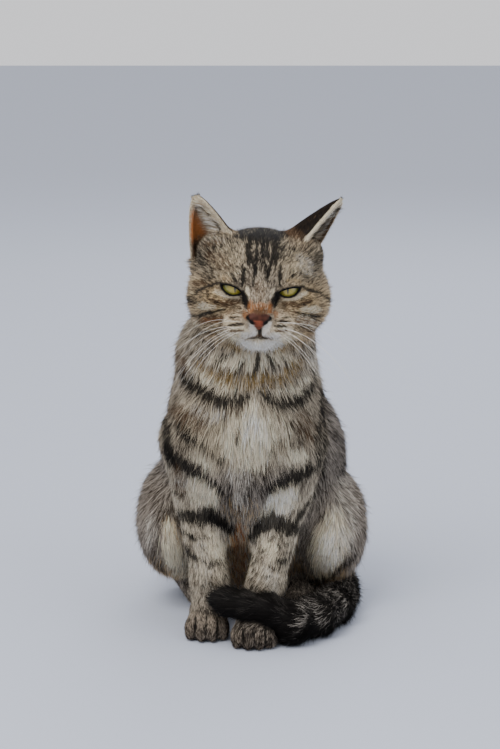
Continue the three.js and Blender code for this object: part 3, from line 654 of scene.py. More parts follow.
# Marks are laid out on a plane that leans back by the front tilt: across, and up it. A row is
# a tone, its strength, the mark's half width and the points of its line.
frontTilt = math.radians(12)
headMarks = [
    ("black", .8, 10.6, (-3.5, 332), (10, 333), (23, 332)),
    ("black", .5, 12.2, (10, 325.5), (10, 306)),
    ("black", .6, 3.2, (-13, 330.5), (32.5, 331.5)),
    ("black", 1, 2.8, (0, 329), (-1.5, 317.5), (-1, 306)),
    ("black", .95, 1.6, (1.5, 311), (5, 298.5)),
    ("black", 1, 1.8, (-4, 303), (-5.5, 295.5), (-6.5, 288)),
    ("black", 1, 2.8, (21, 329), (20.5, 307)),
    ("black", .95, 1.6, (18, 310), (14, 295.5)),
    ("black", 1, 1.6, (24.5, 303), (24.5, 288)),
    ("black", .7, 1.6, (10, 330.5), (10.5, 311)),
    ("black", .8, 1.4, (5, 306), (2.5, 288)),
    ("black", .8, 1.4, (12, 307.5), (14.5, 288)),
    ("black", .75, 1.4, (-16.5, 299.5), (-11.5, 292)),
    ("black", .7, 1.4, (36, 298), (31, 292)),
    ("black", .6, 4, (-45.5, 321), (-39, 307.5)),
    ("black", .4, 3.2, (62, 321), (56.5, 310)),
    ("brown", .5, 2.4, (-36.5, 322.5), (-23, 325.5)),
    ("buff", .35, 2, (-23, 295.5), (-15.5, 293)),
    ("buff", .35, 2, (31, 292), (41, 292)),
    ("black", .95, 1.4, (-23.5, 291.5), (-32.5, 289), (-41.5, 285.5), (-50.5, 278.5)),
    ("black", .95, 1.4, (42.5, 288), (47.5, 285.5), (56.5, 283.5), (65.5, 277.5)),
    ("brown", .6, 2.4, (-47.5, 292), (-36.5, 290.5)),
    ("black", .55, 2, (-52.5, 276), (-44, 278.5)),
    ("cream", .6, 2.2, (-28, 284), (-19.5, 280.5), (-10, 279)),
    ("cream", .6, 2.2, (45.5, 282.5), (37.5, 278.5), (28, 277.5)),
    ("cream", .65, 1.6, (-3, 286.5), (-1, 280)),
    ("cream", .6, 1.6, (19, 285.5), (17, 279)),
    ("brown", .7, 2.6, (-32.5, 277.5), (-23, 273.5), (-10, 275)),
    ("brown", .7, 2.6, (50.5, 276.5), (39, 272.5), (28, 274)),
    ("black", .5, 1.2, (-31, 276.5), (-23, 272.5), (-16.5, 272.5)),
    ("black", .45, 1.2, (49, 276), (38.5, 272), (33.5, 272)),
    ("cream", .55, 2.6, (-41, 273.5), (-29.5, 271)),
    ("cream", .6, 2.8, (42.5, 268.5), (57, 270)),
    ("black", .9, 1.2, (-20.5, 269.5), (-30, 267.5), (-41, 266), (-49, 266)),
    ("black", .9, 1.4, (36, 267.5), (44, 265), (54, 264.5), (59, 266)),
    ("brown", .6, 3.2, (-41, 262), (-23, 262)),
    ("brown", .6, 3.2, (39, 261), (55.5, 259.5)),
    ("black", .5, 2, (-47.5, 259.5), (-41, 254)),
    ("black", .6, 2, (60.5, 260.5), (50.5, 253)),
    ("brown", .5, 3.2, (-36.5, 248), (-21, 254.5)),
    ("brown", .5, 3.2, (55.5, 252), (41, 255.5)),
    ("black", .5, 2, (-53, 248), (-44, 240)),
    ("black", 1, 3, (-6, 283), (-4, 277.5), (-2, 271)),
    ("black", .9, 2, (-5.5, 281.5), (-2.5, 272.5)),
    ("black", 1, 3, (23, 282.5), (21, 277.5), (19, 272)),
    ("black", .9, 2, (22.5, 281.5), (20, 273.5)),
    ("rufous", .7, 2.4, (1, 275), (0, 266)),
    ("rufous", .7, 2.2, (15.5, 274), (16.5, 266)),
    ("rufous", .6, 3.2, (3.5, 271), (14, 271)),
    ("rufous", .7, 3.2, (3.5, 267), (14.5, 267)),
    ("brown", .6, 2.8, (5, 267.5), (13, 267.5)),
    ("brown", .4, 4.8, (8, 289.5), (8, 276.5)),
    ("rufous", .75, 2.6, (-5, 267), (-3.5, 262)),
    ("rufous", .6, 2.4, (20.5, 267), (21, 263)),
    ("cream", .55, 3.6, (-13, 253), (-3.5, 250.5)),
    ("cream", .55, 3.6, (20.5, 251.5), (31, 253)),
    ("white", 1, 3, (1, 257), (4, 249)),
    ("white", 1, 3, (15.5, 257), (11.5, 249)),
    ("white", .7, 3.2, (-5.5, 248), (1, 246.5)),
    ("white", .7, 3.2, (14.5, 246.5), (23, 247.5)),
    ("black", .9, 1, (-16.5, 262), (-9, 262.5)),
    ("black", .95, 1.2, (-17, 256), (-5.5, 256.5)),
    ("brown", .9, 1, (-15.5, 251), (-5.5, 251.5)),
    ("black", .8, 1, (25.5, 262), (32.5, 262.5)),
    ("black", .95, 1.2, (21, 259), (32, 259)),
    ("black", .95, 1.2, (19.5, 255), (30, 255)),
    ("brown", .9, 1, (20.5, 251), (29.5, 251.5)),
    ("white", .95, 3.6, (-8, 242.5), (1.5, 239), (10, 238.5), (24.5, 242.5)),
    ("cream", .6, 2, (-16.5, 249), (-8, 243)),
    ("cream", .6, 2, (32.5, 248), (24.5, 243)),
    ("cream", .4, 2.4, (-23, 251.5), (-16.5, 248)),
    ("cream", .4, 2.4, (41, 249.5), (33.5, 247.5)),
    ("ochre", .7, 3.2, (-28, 242.5), (-18, 238.5), (-5, 235)),
    ("ochre", .7, 3.2, (18, 234), (28, 236.5), (37.5, 236.5)),
    ("black", 1, 1.6, (8, 255.5), (8, 247.5)),
    # Painted shade along the mouth line.
    ("brown", .8, 1, (-2.5, 245), (2.5, 246), (7.5, 247.5), (12, 246), (18, 245)),
    ("black", .5, 2.4, (-41, 307.5), (-47.5, 299.5)),
    ("brown", .45, 4, (-19.5, 267), (-8, 267)),
    ("brown", .35, 4, (26, 267), (36, 267)),
    ("black", .35, 3.2, (-14.5, 272), (-8, 267)),
    ("black", .35, 3.2, (28, 272), (24.5, 267)),
    ("paleGrey", .5, 2.4, (43.5, 329), (55.5, 337)),
    ("paleGrey", .2, 3.2, (-36.5, 329), (-23, 325.5)),
    ("rufous", .45, 2.4, (-38.5, 262), (-23, 260.5)),
    ("cream", .45, 2.8, (-49, 262), (-41.5, 258)),
    ("buff", .5, 3.2, (-44, 245.5), (-28, 249)),
    ("buff", .45, 3.2, (41, 247.5), (52.5, 252)),
    ("rufous", .35, 2.4, (39, 261), (52.5, 259.5)),
    ("black", .55, 1.4, (-44, 253), (-31, 251.5)),
    ("black", .5, 1.4, (41, 256.5), (52.5, 257)),
    ("cream", .4, 4, (41, 262), (55.5, 258.5)),
    ("black", .9, 1.4, (5.5, 319), (5, 306)),
    ("black", .9, 1.4, (14.5, 321), (14.5, 307.5)),
    ("brown", .4, 7.4, (-32.5, 314), (-18, 303)),
    ("black", .2, 7.4, (-32.5, 311), (-18, 303)),
    ("paleGrey", .3, 6.6, (41, 311), (49, 301)),
    # Painted shade, darker, at the middle of the mouth line.
    ("black", .75, 1.2, (1.5, 245.5), (14, 245.5)),
    ("black", .4, 4.8, (10, 319), (10, 307.5)),
    ("black", .5, 1.6, (-2.5, 321), (-5.5, 307.5)),
    ("black", .45, 1.6, (24.5, 322.5), (28, 307.5)),
    ("black", .2, 10.6, (-3.5, 304.5), (10, 301), (23, 304.5)),
]
bodyMarks = [
    ("cream", .8, 6.6, (-29, 228), (-8.5, 226), (12.5, 227), (33, 228)),
    ("black", 1, 2.4, (-27.5, 225.5), (-18, 231)),
    ("black", 1, 2, (-5, 228), (-10, 217)),
    ("black", 1, 2.2, (6, 233), (6, 224.5), (3.5, 214.5)),
    ("black", 1, 2, (13.5, 233), (20, 221)),
    ("black", .8, 1.6, (25, 231), (31.5, 221)),
    ("ochre", .5, 6.6, (-41.5, 223.5), (-29, 214), (-8.5, 208), (10, 209.5), (31.5, 214), (38, 226)),
    ("brown", .55, 4.2, (-58, 234.5), (-53, 218)),
    ("black", .5, 1.6, (-54.5, 218), (-45, 209.5)),
    ("cream", .6, 3.4, (-49.5, 226), (-43, 216.5), (-30, 208), (-11.5, 202)),
    ("cream", .6, 3.4, (48, 213), (38, 203), (21.5, 201.5)),
    ("black", 1, 5.2, (-54.5, 214), (-46.5, 204.5), (-36.5, 198), (-21.5, 192), (-10, 195.5), (-2.5, 196.5)),
    ("black", 1, 4.6, (10, 199.5), (16.5, 194.5), (28, 189), (38, 192), (49, 202)),
    ("black", .55, 2.4, (54.5, 209), (46.5, 198)),
    ("cream", .8, 5, (1.5, 191.5), (5, 185)),
    ("cream", .95, 12.4, (0, 175), (9, 165)),
    ("white", .55, 10, (1.5, 176.5), (6.5, 156.5)),
    ("cream", .65, 5.8, (18, 178), (30, 163)),
    ("cream", .82, 9.2, (6, 161.5), (2.5, 140)),
    ("cream", .6, 6.6, (-10, 178), (-20, 163)),
    ("cream", .6, 8.2, (-18, 161.5), (-8.5, 141)),
    ("cream", .7, 7.4, (15, 165), (10, 143.5)),
    ("paleGrey", .6, 5, (-35, 180), (-20, 183)),
    ("paleGrey", .6, 4.2, (-45.5, 186.5), (-33, 176.5)),
    ("black", .75, 3.8, (-64.5, 178), (-54.5, 166.5), (-43, 159)),
    ("black", .7, 3, (-54.5, 171.5), (-48, 160.5), (-36.5, 155.5), (-23, 147.5)),
    ("black", .8, 1.6, (-8.5, 166.5), (-11, 157.5)),
    ("black", .6, 1.2, (-1.5, 175), (-3.5, 170)),
    ("black", .6, 2, (10, 155.5), (16.5, 151.5), (21.5, 145)),
    ("black", .55, 2, (35, 158), (45, 156.5)),
    ("black", .6, 2, (-28, 148.5), (-20, 143.5)),
    ("brown", .5, 3.4, (-49.5, 182.5), (-36.5, 176.5)),
    ("black", .85, 5.4, (-71.5, 175), (-69.5, 157.5), (-66.5, 140)),
    ("cream", .75, 5.8, (-46.5, 146), (-30, 140)),
    ("cream", .75, 6.6, (26.5, 148.5), (43, 143.5)),
    ("paleGrey", .45, 8.4, (-15, 134), (-3.5, 128.5)),
    ("paleGrey", .3, 5, (-8.5, 128.5), (-7.5, 106)),
    ("brown", .3, 5, (-8.5, 106), (-8.5, 91.5)),
    ("paleGrey", .35, 5.8, (-10, 117), (-6.5, 100)),
    ("rufous", .5, 6.8, (-9.5, 85), (-8.5, 34.5)),
    ("black", 1, 6, (-70.5, 153), (-60.5, 140.5), (-45.5, 134), (-35.5, 127), (-26, 118)),
    ("cream", .85, 11, (-47, 122), (-32, 107.5)),
    ("black", 1, 5, (-33.5, 93.5), (-17.5, 85)),
    ("black", 1, 7.2, (-60.5, 95), (-45.5, 92.5), (-32, 96), (-23.5, 91), (-16, 82.5)),
    ("cream", .85, 5.8, (-32, 76.5), (-27, 58)),
    ("paleGrey", .3, 6.8, (-44, 72.5), (-37, 34.5)),
    ("black", .85, 2.4, (-56.5, 80), (-46.5, 74)),
    ("black", .9, 2.6, (-54, 64.5), (-48, 59), (-42, 55.5)),
    ("black", .7, 2.6, (-65, 115), (-55.5, 111)),
    ("paleGrey", .5, 4.2, (-62.5, 124.5), (-55.5, 122)),
    ("black", 1, 6.4, (17, 117), (27, 124.5), (38.5, 128.5), (50.5, 135.5)),
    ("cream", .85, 11, (33, 115), (19.5, 99)),
    ("white", .9, 10.2, (31, 111), (15, 94)),
    ("cream", .5, 9.2, (31, 111), (15, 94)),
    ("cream", .5, 5.8, (15, 100), (10, 95)),
    ("black", 1, 7.6, (2.5, 79), (10, 87.5), (18.5, 92.5), (30.5, 86.5), (38.5, 82.5)),
    ("black", .85, 3, (37, 85), (43, 96.5), (49, 105), (57.5, 114.5)),
    ("cream", .8, 6.8, (13.5, 72.5), (18.5, 63)),
    ("paleGrey", .5, 6.8, (15, 49.5), (20, 32.5)),
    ("black", .85, 2.4, (22.5, 54.5), (33.5, 59)),
    ("black", .5, 1.6, (27, 70), (35.5, 71.5)),
    ("brown", .35, 2.6, (10, 58), (21, 47)),
    ("black", .75, 5.6, (60.5, 184), (60.5, 151.5), (61, 126)),
    ("black", .7, 4.2, (62, 208), (60.5, 184)),
    ("buff", .35, 7.8, (-70.5, 86.5), (-67, 54.5)),
    ("cream", .75, 7.8, (-70.5, 82), (-67, 51)),
    ("cream", .6, 6.8, (-72, 66.5), (-65.5, 46)),
    ("cream", .85, 13.8, (74, 89), (69, 54.5)),
    ("cream", .55, 7.8, (-63.5, 60), (-60, 39)),
    ("black", .7, 2.2, (-81, 51), (-74, 41)),
    ("black", .8, 2.6, (91, 56.5), (74, 42.5), (53.5, 30.5)),
    ("paleGrey", .55, 6, (77.5, 73.5), (86, 65)),
    ("paleGrey", .5, 5.2, (-84.5, 90.5), (-86, 69)),
    ("black", .6, 3.4, (-42, 14), (-25.5, 12.5)),
    ("cream", .4, 6.8, (42, 152.5), (42, 142)),
    # Painted shade: thin black lines in the gaps between the toes of both forepaws.
    ("black", .95, 1, (-46.5, 8.5), (-47, -9.5)),
    ("black", .95, 1, (-37, 8.5), (-38, -9.5)),
    ("black", .95, 1, (-28, 8.5), (-28.5, -9.5)),
    ("black", .95, 1, (-6, 2.5), (-6, -14.5)),
    ("black", .95, 1, (3.5, 2.5), (3.5, -14.5)),
    ("black", .95, 1, (12.5, 2.5), (12.5, -14.5)),
    ("brown", .6, 8.2, (-61.5, 185), (-36.5, 171.5)),
    ("black", .35, 7.4, (-59.5, 168), (-36.5, 161.5)),
    ("cream", .9, 11.2, (63.5, 73.5), (65.5, 44.5)),
    ("white", .6, 9.4, (72, 75), (67, 51)),
    ("paleGrey", .45, 10.4, (81, 121), (84.5, 69)),
    ("brown", .5, 7.4, (41.5, 182.5), (48, 161.5)),
    ("brown", .5, 5.8, (-62.5, 135.5), (-57.5, 110)),
    ("paleGrey", .4, 7.4, (51.5, 234.5), (56.5, 218)),
]


# Bands round the body, square to the spine, rings across the thighs and a line down the back.
def stripeShare(p, kind):
    along = lineReach(p[:, 1:], spineLine)[1]
    warp = (noise(p, 26) - .5) * 1.3
    bands = np.sin(2 * math.pi * (along / 24 + np.abs(p[:, 0]) / 90) + warp * 2.6)
    fromKnee = np.hypot(p[:, 1] - 5, p[:, 2] - 50)
    rings = np.sin(2 * math.pi * fromKnee / 25 + warp * 2.4)
    onThigh = kind == "thigh"
    share = ease(np.where(onThigh, rings, bands), .05, .75) * ease(noise(p, 15, 1), .28, .5)
    dorsal = ease(11 - np.abs(p[:, 0]) + (noise(p, 10, 2) - .5) * 6, 0, 6) * ease(p[:, 1], 20, 55)
    return np.maximum(share * np.where(onThigh, .5, .85), dorsal * .9)


# Where a place is on an ear: its height, how near the middle of the head, and whether it
# is on the ear, inside the cup or on the rim; and how the hair sweeps inside.
def earZones(q, local, kind, ear):
    x, y, z = earPlace(q, ear)
    up, front, across, length = earFrame(ear)
    ofEar = (kind == "ear") & (z > .02) & (np.sign(q[:, 0]) == np.sign(ear["root"][0]))
    radial = x * (local @ across) + y * (local @ front)
    wide, deep = earSize(z, ear)
    fromEdge = (1 - np.hypot(x / wide, y / deep)) * np.minimum(wide, deep)
    rim = ofEar & (y > -.4) & (fromEdge < .7)
    inner = ofEar & ~rim & ((radial < 0) | (y > .3))
    outward = np.sign(ear["root"][0]) * np.sign(across[0])
    sweep = across * outward + up * .45 + front * .2
    return z, -outward * x / (ear["width"] / 2), ofEar, inner, rim, sweep


# The colour of the coat at a place. With dice, each lock takes one tone or another: the
# number after a tone says which of its dice decides.
def coatColour(p, n, cover, dice=None):
    def choose(amount, tone, draw):
        amount = np.clip(amount, 0, 1)
        if dice is not None:
            amount = np.where(dice[:, draw % dice.shape[1]] < amount, .9, amount * .12)
        colour[:] = colour * (1 - amount[:, None]) + tones[tone] * amount[:, None]

    front = np.stack([p[:, 0], p[:, 2] * math.cos(frontTilt) + p[:, 1] * math.sin(frontTilt)], 1)
    facing = -n[:, 1] * math.cos(frontTilt) + n[:, 2] * math.sin(frontTilt)
    kind, piece = cover["kind"], cover["piece"]
    mottle = (noise(p, 5, 3) - .5) * .16 + (noise(p, 14, 5) - .5) * .22
    share = np.clip(cover["share"] + mottle, .05, .95)
    pick = share if dice is None else ease(share - dice[:, 0], -.14, .14)
    colour = cover["light"] * (1 - pick[:, None]) + cover["dark"] * pick[:, None]
    head = np.isin(piece, ["head", "ears"])
    bodyPart = np.isin(piece, ["sides", "back", "thighs", "neck", "chest"])
    side = np.where(bodyPart, 1 - ease(facing, .25, .6), 0) * (kind != "paw")
    choose(stripeShare(p, kind) * side * .85, "black", 1)
    # The back of the head has stripes from the crown down the nape.
    nape = head & (n[:, 1] > -.2) & (kind != "ear")
    lines = ease(np.cos(2 * math.pi * (p[:, 0] - 8) / 17 + (noise(p, 18) - .5) * 2.5), .1, .8)
    choose(np.where(nape & (np.abs(p[:, 0] - 8) < 30), lines * .75, 0), "black", 2)
    # The inner side of the thighs and the underside are warmer.
    choose(ease(-n[:, 2], .2, .8) * bodyPart * .6, "buff", 3)
    wobble = (noise(p, 4, 6) - .5) * 1.6
    for index, (tone, strength, width, *path) in enumerate(headMarks + bodyMarks):
        onHead = index < len(headMarks)
        reach, run, whole = lineReach(front, path)
        taper = width * (.65 + .35 * np.clip(np.minimum(run, whole - run) / max(whole * .3, 1), 0, 1))
        edge = (.3 if onHead else .45) * width + .6
        amount = strength * (1 - ease(reach + wobble * min(1, width / 3), taper - edge, taper + edge))
        allowed = head if onHead else ~head & (piece != "tail")
        amount = amount * allowed * ease(facing, -.15, .25)
        if not onHead:
            amount = amount * (1 - .25 * ease(noise(p, 6, index + 3), .55, .85))
        choose(amount, tone, index + 4)
    # Small dark flecks run down the forelegs.
    flecks = ease(noise(p * vec(1, 1, 1.8), 6.5, 21), .56, .76)
    choose(flecks * np.isin(kind, ["foreleg", "wrist"]) * (p[:, 2] < 92) * .55, "black", 32)
    # The tail has dark rings and a black tip, and painted shade where it faces down.
    tail = piece == "tail"
    if tail.any():
        run, whole = lineReach(p, tailLine)[1:]
        rings = ease(np.sin(2 * math.pi * run / 20 + (noise(p, 14) - .5) * 2), -.55, .3)
        choose(tail * rings * .8, "black", 21)
        choose(tail * ease(run, whole - 66, whole - 52), "black", 22)
        # Painted shade: darker where the tail faces down.
        choose(tail * ease(-n[:, 2], -.1, .6) * .8, "black", 23)
    # The right ear's thin skin is painted pink as if light shone through it, a painted glow; both have pale
    # hairs inside, dark backs, pale rims.
    for name, ear in earForms.items():
        z, medial, ofEar, inner, rim, sweep = earZones(toHead(p), n @ headTurn, kind, ear)
        outer = ofEar & ~inner & ~rim
        lateral = 1 - ease(medial, -.3, .2)
        if name == "right":
            # Painted light: a pink glow in the thin skin of the right ear's cup.
            choose(inner * lateral * ease(z, .2, .42) * (1 - ease(z, .82, .95)) * .95, "earSkinPaintedGlow", 25)
            choose(inner * lateral * (1 - ease(z, .18, .36)) * .8, "brown", 27)
        else:
            choose(inner * lateral * .5, "brown", 27)
        choose(inner * ease(medial, -.45, 0) * .95, "earHair", 26)
        choose(inner * ease(medial, -.3, .1) * ease(z, .2, .4) * .38, "white", 24)
        choose(ofEar * ease(z, .85, 1) * .4, "brown", 27)
        choose(outer * .85, "brown", 28)
        choose(outer * (.95 if name == "left" else .6) * ease(z, .1, .35), "black", 29)
        choose(rim * (.9 if name == "left" else .6), "cream", 30)
    # The rims of the lids are dark, and wider above than below.
    q = toHead(p)
    for eye in eyeForms.values():
        near = np.linalg.norm(q - eye["at"], axis=1) < eyeValues["radius"] + 4
        above = ease(q[:, 2] - eye["at"][2], -2, 2)
        rimShare = 1 - ease(lidOpening(q, eye), .2 + .3 * above, .6 + .6 * above)
        choose(near * rimShare, "rim", 31)
    return colour


# Nose leather, in head space: wide at the top and narrowing to the split of the lip.
leatherHeights = [-24, -22, -19, -15.5, -12.5, -10, -8.6]
leatherHalfWidths = [.8, 1.6, 4.2, 8.2, 9.6, 8.5, 4]


def leatherMask(q):
    x, y, z = q.T
    half = np.interp(z, leatherHeights, leatherHalfWidths)
    return ease(half - np.abs(x), -.3, .3) * ease(-z, 8.4, 9.4) * ease(z, -24, -22.6) * ease(-y, 52, 55)


def creaseDistances(p):
    return np.array([limbDistance(p, start, end, radii) for start, end, radii in hollows])


def mixed(under, over, share):
    return under * (1 - share[:, None]) + over * share[:, None]


cover = coverOf(points)
say("cover of the skin")
# Skin seen between the locks is in their shade, so it is darker than they are.
skinShade = .5
skinColour = coatColour(points, normals, cover) * skinShade
q = toHead(points)
leather = leatherMask(q)
creaseReach = creaseDistances(q)
# Painted shade: the nostrils and the lines of the nose and mouth are darkened almost to black on the skin.
creaseShade = (1 - ease(creaseReach, .2, .8)).max(axis=0)
splitOfLip = (np.abs(q[:, 0]) < 3.6) & (q[:, 2] < -14.5)
leatherTone = np.where(splitOfLip[:, None], tones["leatherLight"], tones["leather"])
leatherTone = leatherTone * (1 - .45 * ease(noise(points, 2.2, 8), .3, .8))[:, None]
skinColour = mixed(mixed(skinColour, leatherTone, leather), tones["rim"], creaseShade)


def setColour(target, name, values):
    layer = target.data.color_attributes.new(name, "FLOAT_COLOR", "POINT")
    flat = np.ones((len(values), 4), np.float32)
    flat[:, :3] = values
    layer.data.foreach_set("color", flat.ravel())


setColour(skin, "coatColour", skinColour)

# Where no lock grows: eyes, lids' edges, leather, nostrils, mouth line and soles.
bare = (leather > .3) | (creaseShade > .4)
for eye in eyeForms.values():
    ball = np.linalg.norm(q - eye["at"], axis=1)
    bare = bare | ((ball < eyeValues["radius"] + 5) & (lidOpening(q, eye) < .55))
    bare = bare | (ball < eyeValues["radius"] + .7)
bare = bare | ((points[:, 2] < 1.6) & (normals[:, 2] < -.6))
cover["density"] = np.where(bare, 0, cover["density"])

for ear in earForms.values():
    z, medial, ofEar, inner, rim, sweep = earZones(q, normals @ headTurn, cover["kind"], ear)
    cover["lie"][inner] = headTurn @ sweep
    cover["length"] = np.where(inner, 3 + 9 * ease(medial, -.2, .6), cover["length"])
    cover["rise"] = np.where(inner, 16, cover["rise"])
    cover["density"] = np.where(inner, 1.2 + 3 * ease(medial, -.4, .3), cover["density"])
    cover["width"] = np.where(inner, .36, np.where(rim, .3, cover["width"]))
    cover["length"] = np.where(rim, 1.8, cover["length"])

# Hair turns away from the eyes and shortens beside them.
for eye in eyeForms.values():
    away = q - eye["at"]
    reach = np.linalg.norm(away, axis=1)
    pull = (1 - ease(lidOpening(q, eye), 1, 7)) * (reach < 20)
    away = (away / reach[:, None]) @ headTurn.T
    cover["lie"] = mixed(cover["lie"], away, pull * .8)
    cover["length"] = cover["length"] * (1 - .55 * pull)
    cover["width"] = cover["width"] * (1 - .2 * pull)

# Hair is short beside the nostrils and the lips, so that their lines stay open.
cover["length"] = cover["length"] * (.5 + .5 * ease(creaseReach.min(axis=0), 1, 5))

corners = points[triangles]
area = np.linalg.norm(np.cross(corners[:, 1] - corners[:, 0], corners[:, 2] - corners[:, 0]), axis=1) / 2
density = cover["density"][triangles].mean(axis=1) * (cover["density"][triangles].min(axis=1) > 0)
headTriangle = np.isin(cover["piece"][triangles[:, 0]], ["head", "ears"])
say(f"area of skin {area.sum() / 100:.0f} square cm, head {area[headTriangle].sum() / 100:.0f}")

# Clumping is the share by which a lock's tip is drawn to its leader's; other places have .4.
coatValues = {"headTufts": 125000, "bodyTufts": 240000, "azimuthSpread": 10, "lengthSpread": .26,
              "widthSpread": .2, "riseSpread": .28, "turnSize": 11, "turnMost": 14, "rootSink": .5,
              "colourAt": .6, "perClump": 14, "strayShare": .08, "strayRise": 2.3, "strayWidth": .6,
              "rootRadius": .58, "normalSoftness": .72, "rootShade": .38, "tipPaintedHighlight": 1.3,
              "headContrast": .26, "bodyContrast": .2, "floorGap": .4, "dice": 17, "seed": 7}
clumping = {"chest": .6, "neck": .4, "belly": .5, "thigh": .3, "shoulder": .35, "tail": .2,
            "foreleg": .3, "wrist": .25, "paw": .25, "hindfoot": .3, "crown": .22, "cheek": .3,
            "jaw": .35, "eyeSocket": .15, "brow": .2, "bridge": .1, "pad": .15, "chin": .3, "ear": .25}


def sowRoots(chosen, count, rng):
    total = np.cumsum(area * density * chosen)
    spots = (np.arange(count) + rng.random(count)) / count * total[-1]
    tri = np.minimum(np.searchsorted(total, spots), len(total) - 1)
    a, b = rng.random(count), rng.random(count)
    flip = a + b > 1
    a, b = np.where(flip, 1 - a, a), np.where(flip, 1 - b, b)
    return tri, np.stack([1 - a - b, a, b], 1)


rng = np.random.default_rng(coatValues["seed"])
headRoots = sowRoots(headTriangle, coatValues["headTufts"], rng)
bodyRoots = sowRoots(~headTriangle, coatValues["bodyTufts"], rng)
tri, bary = [np.concatenate(pair) for pair in zip(headRoots, bodyRoots)]
ids = triangles[tri]


def spread(values):
    w = bary if values.ndim == 1 else bary[..., None]
    return (values[ids] * w).sum(axis=1)


root = spread(points).astype(np.float32)
amount = len(root)
normal = spread(normals)
normal /= np.linalg.norm(normal, axis=1)[:, None]
tuft = {key: spread(cover[key]) for key in ("length", "width", "rise", "share", "light", "dark", "lie")}
nearest = ids[np.arange(amount), bary.argmax(axis=1)]
tuft["kind"], tuft["piece"] = cover["kind"][nearest], cover["piece"][nearest]
tuftUv = (loopUv[tri] * bary[..., None]).sum(axis=1)
dice = rng.random((amount, coatValues["dice"]))
onHead = np.isin(tuft["piece"], ["head", "ears"])
onEar = tuft["piece"] == "ears"

lie = tuft["lie"] - normal * (tuft["lie"] * normal).sum(axis=1)[:, None]
size = np.linalg.norm(lie, axis=1)
lie = np.where(size[:, None] > .05, lie / np.maximum(size, .05)[:, None], np.cross(normal, vec(1, 0, 0)))
lie /= np.linalg.norm(lie, axis=1)[:, None]
swirl = (noise(root, coatValues["turnSize"], 9) - .5) * 2 * coatValues["turnMost"]
turn = np.radians(swirl + rng.normal(0, coatValues["azimuthSpread"], amount))
lie = lie * np.cos(turn)[:, None] + np.cross(normal, lie) * np.sin(turn)[:, None]
length = tuft["length"] * np.clip(rng.normal(1, coatValues["lengthSpread"], amount), .45, 1.7)
width = tuft["width"] * np.clip(rng.normal(1, coatValues["widthSpread"], amount), .5, 1.6)
rise = np.radians(tuft["rise"] * np.clip(rng.normal(1, coatValues["riseSpread"], amount), .3, 2))
stray = (rng.random(amount) < coatValues["strayShare"]) & ~onEar
rise = np.where(stray, np.minimum(rise * coatValues["strayRise"], .8), rise)
width = np.where(stray, width * coatValues["strayWidth"], width)

# Neighbouring locks share their tone a little, so that the ticking shows as specks.
groundTicks = np.where(onHead, streaks(root, lie, .8, 1.2, 11), streaks(root, lie, 1.5, 4, 12))
markTicks = np.where(onHead, streaks(root, lie, .8, 1.2, 14), streaks(root, lie, 1.6, 4, 15))
dice[:, 0] = dice[:, 0] * .62 + groundTicks * .38
dice[:, 1:] = dice[:, 1:] * .75 + markTicks[:, None] * .25
# A lock shows mostly its outer part, so its tone is that of the place it reaches.
reachOut = length * np.where(onEar, .1, coatValues["colourAt"])
seen = (root + lie * reachOut[:, None]).astype(np.float32)
tuftColour = coatColour(seen, normal.astype(np.float32), tuft, dice)
say("coat colours")

sink = np.minimum(coatValues["rootSink"], length * np.sin(rise) * .3 + .05)
start = root - normal * sink[:, None]
tip = start + (lie * np.cos(rise)[:, None] + normal * np.sin(rise)[:, None]) * length[:, None]

# Locks lean together in clumps: each tip is drawn towards the tip of the nearest chosen lock.
chosen = rng.permutation(amount)[:amount // coatValues["perClump"]]
leaders = kdtree.KDTree(len(chosen))
for index, at in zip(chosen.tolist(), root[chosen].tolist()):
    leaders.insert(at, index)
leaders.balance()
leader = np.array([leaders.find(at)[1] for at in root.tolist()])
pull = np.array([clumping.get(kind, .4) for kind in tuft["kind"]])
pull = pull * ~stray * ((lie * lie[leader]).sum(axis=1) > .6) * ((normal * normal[leader]).sum(axis=1) > .5)
drawn = tip[leader] + (root - root[leader]) * .2
tip = tip + (drawn - tip) * (pull * rng.uniform(.6, 1.1, amount))[:, None]
tip[:, 2] = np.maximum(tip[:, 2], coatValues["floorGap"])
start[:, 2] = np.maximum(start[:, 2], coatValues["floorGap"] + .5)
way = tip - start
way /= np.linalg.norm(way, axis=1)[:, None]
say("locks clumped")
across = np.cross(way, normal)
across /= np.maximum(np.linalg.norm(across, axis=1), 1e-3)[:, None]
up = np.cross(across, way)

# One lock is a solid spike: three points round the root, and the tip.
ringWays = [up * math.sin(angle) * .7 + across * math.cos(angle) for angle in np.radians([90, 210, 330])]
ring = [start + offset * (width * coatValues["rootRadius"])[:, None] for offset in ringWays]
lockPoints = np.stack(ring + [tip], 1)
# Its normals are mostly the skin's, so that the coat is lit as one soft surface.
soft = coatValues["normalSoftness"]
shadeNormal = normal[:, None, :] * soft + np.stack(ringWays + [way], 1) * (1 - soft)
shadeNormal /= np.linalg.norm(shadeNormal, axis=2)[..., None]
lockFaces = np.array([(0, 2, 1), (0, 1, 3), (1, 2, 3), (2, 0, 3)])
facing = np.cross(lockPoints[:, 1] - lockPoints[:, 0], lockPoints[:, 3] - lockPoints[:, 0])
wrong = (facing * (lockPoints[:, 0] + lockPoints[:, 1] - 2 * start)).sum(axis=1) < 0
# It has painted shade at the root, where its neighbours shade it, and a painted highlight at the tip.
contrast = np.where(onHead, coatValues["headContrast"], coatValues["bodyContrast"])
brightness = np.exp(rng.normal(0, 1, amount) * contrast)
shade = np.array([coatValues["rootShade"]] * 3 + [coatValues["tipPaintedHighlight"]])
lockColour = np.clip(tuftColour[:, None, :] * (brightness[:, None] * shade)[..., None], 0, 1)
# On the skin's unwrap it has a small patch of its own at its root's place.
patch = np.array([(0, .0003), (-.001, 0), (.001, 0), (0, .003)], np.float32)
lockUv = tuftUv[:, None, :] + patch[None] - vec(0, .0015)

